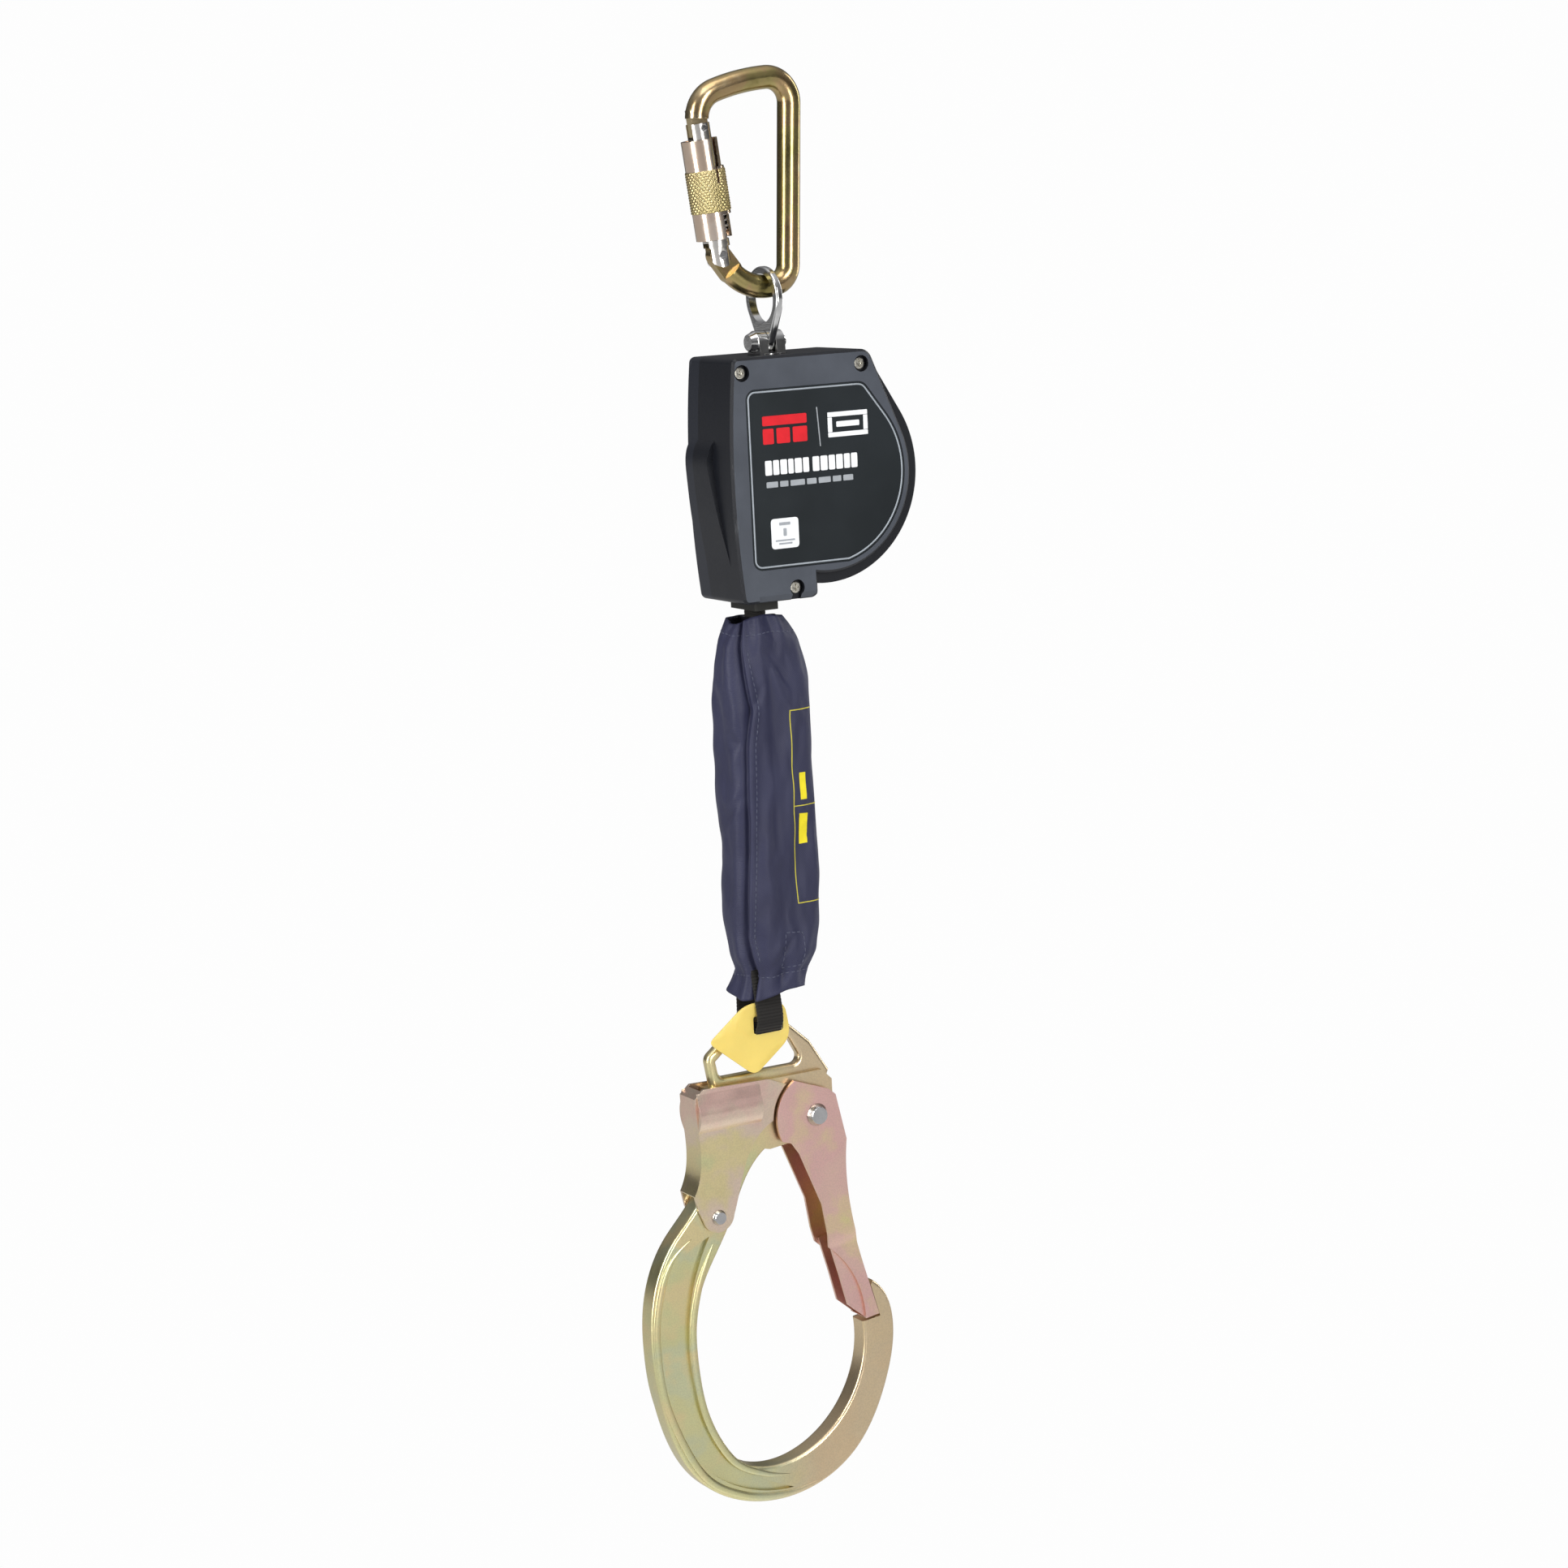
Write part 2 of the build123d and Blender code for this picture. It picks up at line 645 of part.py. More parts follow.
with BuildPart() as carabiner_gate:
    with BuildSketch(GATE_AXIS.offset(-GATE_R)):
        Circle(GATE_R)
    extrude(amount=GATE_TOP + GATE_R)
    with BuildSketch(gate_face(HANG - GATE_R)):
        Circle(GATE_R)
        with Locations((0, GATE_TOP / 2)):
            Rectangle(2 * GATE_R, GATE_TOP)
    extrude(amount=2 * GATE_R, mode=Mode.INTERSECT)
    with BuildSketch(GATE_AXIS.offset(3.9)):
        Circle(GATE_R + 0.7)
    extrude(amount=3.3)
    with Locations(GATE_AXIS.offset(0.2)):
        Box(20.0, TONGUE_THICK + 0.4, 12.4, mode=Mode.SUBTRACT)
    with Locations(GATE_AXIS.offset(NOSE_CLEAR_R - 1.4 + 5.0)):
        Box(20.0, TONGUE_THICK + 0.4, 10.0, mode=Mode.SUBTRACT)
    with BuildSketch(GATE_AXIS.offset(6.0)):
        Circle(GATE_BORE_R)
    extrude(amount=26.0, mode=Mode.SUBTRACT)
    with BuildSketch(gate_face(HANG - 10)):
        Circle(GATE_RIVET_R + RUNNING_GAP)
        with Locations((0, LATCH_PIN_AT)):
            Circle(LATCH_PIN_R)
    extrude(amount=20.0, mode=Mode.SUBTRACT)

with BuildPart() as gate_latch_pin:
    with BuildSketch(gate_face(HANG - GATE_R)):
        with Locations((0, LATCH_PIN_AT)):
            Circle(LATCH_PIN_R)
    extrude(amount=2 * GATE_R)

with BuildPart() as gate_plunger:
    with BuildSketch(GATE_AXIS.offset(6.5)):
        Circle(GATE_BORE_R - 0.1)
    extrude(amount=2.6)

with BuildPart() as gate_spring:
    with BuildLine() as coil:
        Helix(2.4, 21.0, 1.8, center=GATE_AXIS.offset(9.8).origin, direction=GATE_AXIS.z_dir)
    with BuildSketch(Plane(origin=coil.wire() @ 0, z_dir=coil.wire() % 0)):
        Circle(0.4)
    sweep()

with BuildPart() as lock_sleeve:
    with BuildSketch(GATE_AXIS.offset(SLEEVE_LOW)):
        Circle(SLEEVE_R)
        Circle(SLEEVE_BORE_R, mode=Mode.SUBTRACT)
    extrude(amount=SLEEVE_HIGH - SLEEVE_LOW)
    with BuildSketch(GATE_AXIS.offset(24.0)):
        Circle(SLEEVE_BORE_R + 0.1)
        Circle(GATE_R + RUNNING_GAP, mode=Mode.SUBTRACT)
    extrude(amount=16.0)
    # windows towards the front, open at the upper and at the lower rim, and a slit between them;
    # each spans an arc measured in degrees round the sleeve
    for low, tall, first, last in (
        (SLEEVE_HIGH - 13.0, 14.0, -101.0, 10.0),
        (SLEEVE_LOW - 1.0, 12.0, -94.0, 10.0),
        (SLEEVE_HIGH - 20.0, 8.0, -84.0, -76.0),
    ):
        middle = (first + last) / 2
        with BuildSketch(GATE_AXIS.offset(low)):
            Polygon(
                polar((0, 0), 4.0, middle),
                polar((0, 0), 16.0, first),
                polar((0, 0), 16.0, middle),
                polar((0, 0), 16.0, last),
                align=None,
            )
        extrude(amount=tall, mode=Mode.SUBTRACT)

with BuildPart() as sleeve_spring:
    with BuildLine() as coil:
        Helix(2.6, 10.4, 6.35, center=GATE_AXIS.offset(11.0).origin, direction=GATE_AXIS.z_dir)
    with BuildSketch(Plane(origin=coil.wire() @ 0, z_dir=coil.wire() % 0)):
        Circle(0.5)
    sweep()

# ============================================================================ lifeline and pouch

with BuildPart() as lifeline_web:
    with BuildSketch(level(POUCH_TOP - 1.0)):
        with Locations((WEB_X, -HANG)):
            Rectangle(WEB_THICK, WEB_WIDTH)
    extrude(amount=1.0 - POUCH_TOP)

# pouch sections: height, middle in X, half width, half depth
POUCH_SECTIONS = [
    (POUCH_TOP, -31.0, 12.5, 12.0),
    (-77.0, -30.5, 18.5, 15.5),
    (-97.0, -30.0, 22.0, 17.2),
    (-160.0, -29.5, 22.5, 17.5),
    (-216.0, -29.5, 22.0, 17.0),
    (-238.0, -31.5, 19.5, 15.0),
    (POUCH_BOTTOM, -35.6, 16.0, 14.2),
]


def pouch_shell(inset, reach):
    """Closed pouch shape; inset shrinks it all round and reach pushes its two ends outwards."""
    with BuildPart() as shell:
        for number, (height, middle, half_x, half_y) in enumerate(POUCH_SECTIONS):
            if number == 0:
                height += reach
            if number == len(POUCH_SECTIONS) - 1:
                height -= reach
            with BuildSketch(level(height)):
                with Locations((middle, -HANG)):
                    RectangleRounded(2 * (half_x - inset), 2 * (half_y - inset), 8.0 - inset)
        loft()
    return shell.part


with BuildPart() as absorber_pouch:
    add(pouch_shell(0, 0))
    add(pouch_shell(POUCH_WALL, 0.5), mode=Mode.SUBTRACT)

FOLD_TOP = -98.0
FOLD_BOTTOM = -222.0
FOLD_STEP = 4.4
FOLD_COUNT = 7

# tear web: one strap folded to and fro, its tail running up to the lifeline
with BuildPart() as tear_web_pack:
    with BuildSketch(at(HANG - WEB_WIDTH / 2)):
        with BuildLine():
            first_x = POUCH_X - FOLD_STEP * (FOLD_COUNT - 1) / 2
            folds = [(WEB_X, POUCH_TOP - 4.0), (WEB_X, FOLD_TOP + 10.0)]
            for leg in range(FOLD_COUNT):
                ends = (FOLD_TOP, FOLD_BOTTOM) if leg % 2 == 0 else (FOLD_BOTTOM, FOLD_TOP)
                folds += [(first_x + leg * FOLD_STEP, end) for end in ends]
            Polyline(*folds)
        trace(line_width=2.2)
    extrude(amount=WEB_WIDTH)

LOOP_WIDTH = 14.0
LOOP_THICK = 2.0

# webbing loop round the top bar of the hook's eye; its front run passes through the tag
with BuildPart() as lower_web_loop:
    with BuildSketch(hung_across(EYE_AXIS_X - LOOP_WIDTH / 2)):
        with BuildLine():
            Polyline((-6.0, -230.0), (-9.9, -246.0), (-12.0, -256.0), (-7.3, -265.5))
            ThreePointArc((-7.3, -265.5), (0, -270.8), (7.3, -264.0))
            Polyline((7.3, -264.0), (7.3, -247.0), (5.0, -230.0))
        trace(line_width=LOOP_THICK)
    extrude(amount=LOOP_WIDTH)

TAG_FRONT = 9.9
TAG_THICK = 1.0

with BuildPart() as wear_tag:
    with BuildSketch(at(HANG + TAG_FRONT - TAG_THICK)) as tag_face:
        Polygon(
            (-72.2, -265.8),
            (-49.0, -284.8),
            (-28.3, -269.5),
            (-30.3, -252.2),
            (-55.0, -252.2),
            align=None,
        )
        fillet(tag_face.vertices(), 2.4)
        with Locations((EYE_AXIS_X, -260.6)):
            Rectangle(LOOP_WIDTH + 2.0, 8.6, mode=Mode.SUBTRACT)
    extrude(amount=TAG_THICK)

# ============================================================================ rebar hook


def hook_slab(thick):
    """Plane at the rear of a slab of this thickness, centred on the hanging plane."""
    return at(HANG - thick / 2)


# the hook's eye: a flat bar with well-rounded edges, bent into a peaked ring
with BuildPart() as hook_eye:
    with BuildSketch(hook_slab(EYE_THICK)) as eye:
        Polygon(
            (-67.5, -296.0), (-71.0, -274.5), (EYE_AXIS_X, -250.4),
            (-13.0, -275.0), (-3.0, -291.0), (-6.0, -298.0),
            align=None,
        )
        fillet(eye.vertices().sort_by(Axis.Y)[-1], 19.0)
        fillet(eye.vertices().group_by(Axis.X)[0], 5.0)
        with BuildSketch(mode=Mode.PRIVATE) as opening:
            Polygon(
                (-64.0, -285.0), (-65.5, -277.0), (EYE_AXIS_X, -257.0), (-24.5, -272.5), (-17.8, -285.0),
                align=None,
            )
            fillet(opening.vertices().sort_by(Axis.Y)[-1], 12.5)
            fillet(opening.vertices().group_by(Axis.Y)[0], 3.4)
        add(opening.sketch, mode=Mode.SUBTRACT)
    extrude(amount=EYE_THICK)
    fillet(hook_eye.faces().filter_by(Axis.Y).edges(), EYE_ROUND)

with BuildPart() as hook_body:
    with BuildSketch(hook_slab(HOOK_THICK)):
        with BuildLine():
            outer = Spline(
                (-72.0, -300.0), (-74.5, -332.0), (-81.5, -345.0), (-96.1, -361.3), (-107.5, -385.0),
                (-110.0, -408.0), (-105.6, -443.0), (-88.0, -482.0), (-42.0, -501.5), (0.0, -486.4),
                (20.5, -453.0), (25.8, -427.0), (22.3, -409.8), (14.9, -401.1),
            )
            Polyline(outer @ 1, (13.2, -403.0), (17.9, -419.9), (7.8, -421.0))
            inner = Spline(
                (7.8, -421.0), (7.5, -437.0), (-2.5, -461.0), (-20.0, -476.8), (-44.4, -483.5),
                (-67.0, -476.0), (-80.5, -456.0), (-85.6, -416.0), (-81.0, -387.0), (-64.5, -358.0),
                (-51.0, -332.0), (-40.5, -322.5), (-28.0, -319.5),
            )
            Polyline(inner @ 1, (-28.0, -300.0), (-72.0, -300.0))
        make_face()
    extrude(amount=HOOK_THICK)
    rim_edges = hook_body.edges().filter_by(GeomType.BSPLINE)
    fillet(rim_edges, 1.6)
    # head under the lever and the gate
    with BuildSketch(hook_slab(HOOK_THICK)) as head:
        Polygon(
            (-71.0, -289.5), (-9.0, -289.5), (-3.6, -295.0), (-3.6, -311.0),
            (-20.0, -322.0), (-40.0, -324.0), (-72.5, -316.0),
            align=None,
        )
        with Locations(GATE_PIVOT):
            Circle(12.0)
        with Locations(GATE_PIVOT):
            Circle(HOOK_RIVET_R, mode=Mode.SUBTRACT)
    extrude(amount=HOOK_THICK)
    add(hook_eye.part)
    # spine channel pressed into both faces, running out to a point at each end
    for face_depth, way in ((HANG - HOOK_THICK / 2, 1), (HANG + HOOK_THICK / 2, -1)):
        with BuildSketch(at(face_depth)):
            with BuildLine():
                channel = Spline(
                    (-76.0, -361.0), (-90.0, -368.5), (-100.7, -382.0), (-105.0, -408.0), (-101.0, -441.0),
                    (-84.5, -476.0), (-62.0, -491.5), (-36.0, -496.5),
                )
                Spline(
                    channel @ 1, (-56.0, -486.6), (-72.5, -473.2), (-85.4, -446.0), (-90.0, -412.0),
                    (-86.4, -386.0), channel @ 0,
                )
            make_face()
        extrude(amount=way * CHANNEL_DEEP, mode=Mode.SUBTRACT)
    with BuildSketch(at(HANG - 20)):
        with Locations(LEVER_PIVOT):
            Circle(LEVER_RIVET_R)
    extrude(amount=40, mode=Mode.SUBTRACT)
    with BuildSketch(across(-80.0)):
        with Locations((-HANG, -306.0)):
            Circle(2.6)
    extrude(amount=20.0, mode=Mode.SUBTRACT)

GATE_HALF = GATE_INSIDE + GATE_SHEET


def gate_outline():
    """Side view of the pressed-steel hook gate."""
    with BuildSketch() as outline:
        with BuildLine():
            left_top = polar(GATE_PIVOT, LOBE_GATE_R, 122.0)
            left_low = polar(GATE_PIVOT, LOBE_GATE_R, 207.0)
            ThreePointArc(left_top, polar(GATE_PIVOT, LOBE_GATE_R, 165.0), left_low)
            Polyline(left_low, (-29.5, -322.5), (-25.4, -328.5), (-14.2, -356.0), (-10.6, -379.0))
            Spline((-10.6, -379.0), (1.0, -392.3), (8.7, -418.9))
            Line((8.7, -418.9), (16.3, -417.9))
            Spline((16.3, -417.9), (8.3, -390.4), (1.3, -357.9), (1.1, -325.3))
            Polyline((1.1, -325.3), (-4.0, -302.0), (-8.0, -298.6), left_top)
        make_face()
    return outline.sketch


JOGGLE_TOP = -372.0          # below this the cheeks slope inwards
JOGGLE_LOW = -379.0


def joggled(upper_half, lower_half):
    """Cross section, seen from the side, of a cheek envelope that narrows at the joggle."""
    with BuildSketch(mode=Mode.PRIVATE) as envelope:
        Polygon(
            (upper_half, -280.0),
            (upper_half, JOGGLE_TOP),
            (lower_half, JOGGLE_LOW),
            (lower_half, -440.0),
            (-lower_half, -440.0),
            (-lower_half, JOGGLE_LOW),
            (-upper_half, JOGGLE_TOP),
            (-upper_half, -280.0),
            align=None,
        )
    return envelope.sketch


with BuildPart() as gate_hollow:
    with BuildSketch(hook_slab(2 * GATE_INSIDE)):
        with Locations((-1.7, 0)):
            add(gate_outline())
        with Locations((-15.0, -304.0)):
            Rectangle(60.0, 40.0)
        with Locations((-40.0, -370.0)):
            Rectangle(60.0, 120.0)
    extrude(amount=2 * GATE_INSIDE)
    with BuildSketch(hung_across(0)):
        add(joggled(GATE_INSIDE, GATE_INSIDE - JOGGLE_STEP))
    extrude(amount=60.0, both=True, mode=Mode.INTERSECT)

with BuildPart() as hook_gate:
    with BuildSketch(hook_slab(2 * GATE_HALF)):
        add(gate_outline())
    extrude(amount=2 * GATE_HALF)
    with BuildSketch(hung_across(0)):
        add(joggled(GATE_HALF, GATE_HALF - JOGGLE_STEP))
    extrude(amount=60.0, both=True, mode=Mode.INTERSECT)
    add(gate_hollow.part, mode=Mode.SUBTRACT)
    # inner cheeks towards the tip
    for side in (-1, 1):
        with BuildSketch(at(HANG + side * 4.4)):
            Polygon(
                (-9.5, -377.0), (-4.5, -394.8), (-0.5, -410.5), (8.9, -418.6),
                (14.5, -418.0), (5.5, -388.0), (3.0, -374.0),
                align=None,
            )
        extrude(amount=side * GATE_SHEET)
    with BuildSketch(at(HANG - 20)):
        with Locations(GATE_PIVOT):
            Circle(HOOK_RIVET_R + RUNNING_GAP)
    extrude(amount=40, mode=Mode.SUBTRACT)

with BuildPart() as hook_gate_rivet:
    with BuildSketch(hook_slab(2 * GATE_HALF + 0.4)):
        with Locations(GATE_PIVOT):
            Circle(HOOK_RIVET_R)
    extrude(amount=2 * GATE_HALF + 0.4)
    for side in (-1, 1):
        with BuildSketch(at(HANG + side * (GATE_HALF + 0.2))):
            with Locations(GATE_PIVOT):
                Circle(5.6)
        extrude(amount=side * 2.8, taper=28)

with BuildPart() as hook_gate_spring:
    with Locations(Plane(origin=(GATE_PIVOT[0], -HANG - 6.6, GATE_PIVOT[1]), z_dir=(0, -1, 0))):
        Torus(6.2, 0.8)
        with Locations((6.2, -4.0, 0)):
            Box(1.2, 10.0, 1.2)

LEVER_HALF = LEVER_INSIDE + LEVER_SHEET


def lever_outline():
    """Side view of the lock lever; its right end is concentric with the gate's lobe."""
    lip_r = LOBE_GATE_R + 1.1
    with BuildSketch() as outline:
        with BuildLine():
            lip_top = polar(GATE_PIVOT, lip_r, 131.0)
            lip_low = polar(GATE_PIVOT, lip_r, 178.0)
            Polyline((-81.0, -292.0), (-76.0, -287.8), (-40.0, -288.8), lip_top)
            ThreePointArc(lip_top, polar(GATE_PIVOT, lip_r, 155.0), lip_low)
            Spline(lip_low, (-49.6, -318.6), (-58.9, -340.4), (-62.6, -352.0))
            ThreePointArc((-62.6, -352.0), (-71.0, -359.4), (-79.5, -352.5))
            Polyline((-79.5, -352.5), (-82.0, -347.0), (-83.6, -339.5))
            Spline((-83.6, -339.5), (-79.2, -324.5), (-79.4, -311.9), (-81.0, -292.0))
        make_face()
    return outline.sketch


with BuildPart() as lock_lever:
    with BuildSketch(hook_slab(2 * LEVER_HALF)):
        add(lever_outline())
    extrude(amount=2 * LEVER_HALF)
    with BuildSketch(hook_slab(2 * LEVER_INSIDE)):
        with Locations((1.6, 0)):
            add(lever_outline())
        with Locations((-53.0, -317.0)):
            Rectangle(48.0, 80.0)
        with Locations((-62.0, -352.0)):
            Rectangle(60.0, 24.0)
    extrude(amount=2 * LEVER_INSIDE, mode=Mode.SUBTRACT)
    # thumb ridge pressed outwards on both cheeks
    for side in (-1, 1):
        with BuildSketch(hung_across(-79.8)):
            with BuildLine():
                Polyline(
                    (side * 7.0, -309.5), (side * 7.0, -289.6), (side * 8.0, -291.0), (side * 8.8, -295.2),
                )
                ThreePointArc((side * 8.8, -295.2), (side * 10.6, -301.0), (side * 8.2, -308.0))
                Line((side * 8.2, -308.0), (side * 7.0, -309.5))
            make_face()
        extrude(amount=34.5)
    with BuildSketch(at(HANG - 20)):
        with Locations(LEVER_PIVOT):
            Circle(LEVER_RIVET_R + RUNNING_GAP)
    extrude(amount=40, mode=Mode.SUBTRACT)

with BuildPart() as lever_rivet:
    with BuildSketch(hook_slab(2 * LEVER_HALF + 0.4)):
        with Locations(LEVER_PIVOT):
            Circle(LEVER_RIVET_R)
    extrude(amount=2 * LEVER_HALF + 0.4)
    for side in (-1, 1):
        with BuildSketch(at(HANG + side * (LEVER_HALF + 0.2))):
            with Locations(LEVER_PIVOT):
                Circle(3.8)
        extrude(amount=side * 1.7, taper=28)

with BuildPart() as lever_spring:
    with BuildLine() as coil:
        Helix(1.8, 9.0, 1.9, center=(-70.8, -HANG, -306.0), direction=(1, 0, 0))
    with BuildSketch(Plane(origin=coil.wire() @ 0, z_dir=coil.wire() % 0)):
        Circle(0.4)
    sweep()

PIECES = {
    "rear_cover": rear_cover,
    "front_cover": front_cover,
    "name_plate": name_plate,
    "cover_screws": cover_screws,
    "web_guide": web_guide,
    "anchor_bracket": anchor_bracket,
    "main_shaft": main_shaft,
    "shaft_circlips": shaft_circlips,
    "drum": drum,
    "drum_front_flange": drum_front_flange,
    "pawl_pins": pawl_pins,
    "shaft_bushes": shaft_bushes,
    "web_roll": web_roll,
    "pawl_a": pawl_a,
    "pawl_b": pawl_b,
    "ratchet_ring": ratchet_ring,
    "motor_spring": motor_spring,
    "swivel_fork": swivel_fork,
    "swivel_rivet": swivel_rivet,
    "swivel_nut": swivel_nut,
    "swivel_washer": swivel_washer,
    "eye_ring": eye_ring,
    "carabiner_body": carabiner_body,
    "gate_rivet": gate_rivet,
    "carabiner_gate": carabiner_gate,
    "gate_latch_pin": gate_latch_pin,
    "gate_plunger": gate_plunger,
    "gate_spring": gate_spring,
    "lock_sleeve": lock_sleeve,
    "sleeve_spring": sleeve_spring,
    "lifeline_web": lifeline_web,
    "absorber_pouch": absorber_pouch,
    "tear_web_pack": tear_web_pack,
    "lower_web_loop": lower_web_loop,
    "wear_tag": wear_tag,
    "hook_body": hook_body,
    "hook_gate": hook_gate,
    "hook_gate_rivet": hook_gate_rivet,
    "hook_gate_spring": hook_gate_spring,
    "lock_lever": lock_lever,
    "lever_rivet": lever_rivet,
    "lever_spring": lever_spring,
}

for name, piece in PIECES.items():
    piece.part.label = name
    export_step(piece.part, f"parts/{name}.step")
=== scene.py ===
"""Self retracting lifeline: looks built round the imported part, in metres, in the part's own frame."""

import math

import bmesh
import bpy
import numpy as np
from mathutils import Matrix, Vector, noise
from mathutils.bvhtree import BVHTree


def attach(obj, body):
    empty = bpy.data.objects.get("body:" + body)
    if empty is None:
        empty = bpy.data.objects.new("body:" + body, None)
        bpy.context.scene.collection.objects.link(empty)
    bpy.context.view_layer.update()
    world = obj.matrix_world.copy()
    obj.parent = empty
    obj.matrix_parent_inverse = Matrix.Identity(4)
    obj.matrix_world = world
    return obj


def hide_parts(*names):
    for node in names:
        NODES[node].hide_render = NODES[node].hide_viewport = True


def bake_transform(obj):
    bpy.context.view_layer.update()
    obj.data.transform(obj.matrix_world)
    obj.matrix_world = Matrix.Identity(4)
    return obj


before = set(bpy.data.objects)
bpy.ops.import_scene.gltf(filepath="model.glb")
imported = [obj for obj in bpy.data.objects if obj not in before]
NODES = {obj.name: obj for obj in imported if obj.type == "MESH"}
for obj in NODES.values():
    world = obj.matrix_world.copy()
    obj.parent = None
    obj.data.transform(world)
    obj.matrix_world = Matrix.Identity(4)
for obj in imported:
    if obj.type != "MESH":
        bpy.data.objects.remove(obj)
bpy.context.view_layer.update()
MM = 0.001
HANG_Y = -0.025


def mm(x, y, z):
    return Vector((x * MM, y * MM, z * MM))


def add_object(name, data):
    made = bpy.data.objects.new(name, data)
    bpy.context.scene.collection.objects.link(made)
    return made


def dim(colour, share):
    return tuple(part * share for part in colour)


# ------------------------------------------------------------------------------ node helpers


def node(tree, kind, inputs=None, **settings):
    """Adds a shader node; inputs may be values or other nodes' output sockets."""
    made = tree.nodes.new(kind)
    for key, value in settings.items():
        setattr(made, key, value)
    for key, value in (inputs or {}).items():
        if isinstance(value, bpy.types.NodeSocket):
            tree.links.new(value, made.inputs[key])
        else:
            made.inputs[key].default_value = value
    return made


def ramp(tree, factor, stops):
    made = node(tree, "ShaderNodeValToRGB", {"Fac": factor})
    strip = made.color_ramp
    strip.interpolation = "EASE"
    while len(strip.elements) < len(stops):
        strip.elements.new(0.5)
    for element, (place, colour) in zip(strip.elements, stops):
        element.position = place
        element.color = (*colour, 1.0)
    return made.outputs["Color"]


def mix(tree, factor, first, second, blend="MIX"):
    made = node(tree, "ShaderNodeMix", data_type="RGBA", blend_type=blend)
    for key, value in ((0, factor), (6, first), (7, second)):
        if isinstance(value, bpy.types.NodeSocket):
            tree.links.new(value, made.inputs[key])
        elif key == 0:
            made.inputs[0].default_value = value
        else:
            made.inputs[key].default_value = (*value, 1.0)
    return made.outputs[2]


def maths(tree, operation, first, second=0.0, third=0.5):
    """Math node: MULTIPLY_ADD gives first * second + third."""
    made = node(tree, "ShaderNodeMath", operation=operation)
    for key, value in ((0, first), (1, second), (2, third)):
        if isinstance(value, bpy.types.NodeSocket):
            tree.links.new(value, made.inputs[key])
        else:
            made.inputs[key].default_value = value
    return made.outputs[0]


def grain(tree, scale, detail=3.0, rough=0.55, stretch=None):
    """Noise in object space, in features per metre."""
    place = node(tree, "ShaderNodeTexCoord").outputs["Object"]
    if stretch:
        place = node(tree, "ShaderNodeMapping", {"Vector": place, "Scale": stretch}).outputs[0]
    inputs = {"Vector": place, "Scale": scale, "Detail": detail, "Roughness": rough}
    return node(tree, "ShaderNodeTexNoise", inputs).outputs["Fac"]


def axis(tree, letter, space="Object"):
    """One axis of a point's place, or of its normal, as a socket."""
    place = node(tree, "ShaderNodeTexCoord").outputs[space]
    return node(tree, "ShaderNodeSeparateXYZ", {0: place}).outputs[letter]


def wave(tree, place, pitch):
    """Sine along a distance in metres, one turn for each pitch."""
    return maths(tree, "SINE", maths(tree, "MULTIPLY", place, 2 * math.pi / pitch))


def new_material(name):
    material = bpy.data.materials.new(name)
    material.use_nodes = True
    tree = material.node_tree
    tree.nodes.clear()
    shader = node(tree, "ShaderNodeBsdfPrincipled")
    out = node(tree, "ShaderNodeOutputMaterial")
    tree.links.new(shader.outputs[0], out.inputs["Surface"])
    return material, tree, shader


SHADER_INPUTS = {
    "color": "Base Color", "metal": "Metallic", "rough": "Roughness", "normal": "Normal",
    "sheen": "Sheen Weight", "sheen_rough": "Sheen Roughness", "sheen_tint": "Sheen Tint",
    "spec": "Specular IOR Level", "subsurface": "Subsurface Weight",
}


def plug(tree, shader, **values):
    for key, value in values.items():
        socket = shader.inputs[SHADER_INPUTS[key]]
        if isinstance(value, bpy.types.NodeSocket):
            tree.links.new(value, socket)
        elif key in ("color", "sheen_tint"):
            socket.default_value = (*value, 1.0)
        else:
            socket.default_value = value


def bump(tree, height, strength, distance, normal=None):
    made = node(tree, "ShaderNodeBump", {"Height": height, "Strength": strength, "Distance": distance})
    if normal is not None:
        tree.links.new(normal, made.inputs["Normal"])
    return made.outputs[0]


# ---------------------------------------------------------------------------------- materials


def chromate(name, stops, grazing_tint_and_shade, rough=0.3, patch=22.0, speckle=0.5, tooth=1.0, drift=None):
    """Zinc plate with a yellow chromate film: cloudy patches of colour and a fine satin tooth.

    drift gives two places in X, in metres, between which the film turns to a third colour.
    """
    material, tree, shader = new_material(name)
    cloud = grain(tree, patch, 4.0, 0.6)
    spread = maths(tree, "MULTIPLY_ADD", cloud, 2.2, -0.6)
    colour = ramp(tree, spread, stops)
    if drift:
        first_x, last_x, far_colour = drift
        span = last_x - first_x
        share = maths(tree, "MULTIPLY_ADD", axis(tree, "X"), 1.0 / span, -first_x / span)
        share = ramp(tree, share, ((0.0, (0.0, 0.0, 0.0)), (1.0, (0.8, 0.8, 0.8))))
        colour = mix(tree, share, colour, far_colour)
    # at grazing angles the colour turns toward the darker second colour: partly the film's hue shift with
    # angle, partly painted shade along edges that curve away from view
    facing = node(tree, "ShaderNodeLayerWeight", {"Blend": 0.35}).outputs["Facing"]
    colour = mix(tree, maths(tree, "MULTIPLY", facing, 0.75), colour, grazing_tint_and_shade)
    fine = grain(tree, 1400.0, 2.0, 0.6)
    speck = ramp(tree, fine, ((0.35, (0.82, 0.82, 0.82)), (0.65, (1.0, 1.0, 1.0))))
    colour = mix(tree, speckle, colour, mix(tree, 1.0, colour, speck, "MULTIPLY"))
    worn = grain(tree, 90.0, 5.0, 0.65)
    roughness = maths(tree, "MULTIPLY_ADD", worn, 0.16, rough - 0.08)
    normal = bump(tree, fine, 0.06 * tooth, 0.0001)
    normal = bump(tree, grain(tree, 260.0, 3.0), 0.05 * tooth, 0.0004, normal)
    plug(tree, shader, color=colour, metal=1.0, rough=roughness, normal=normal)
    return material


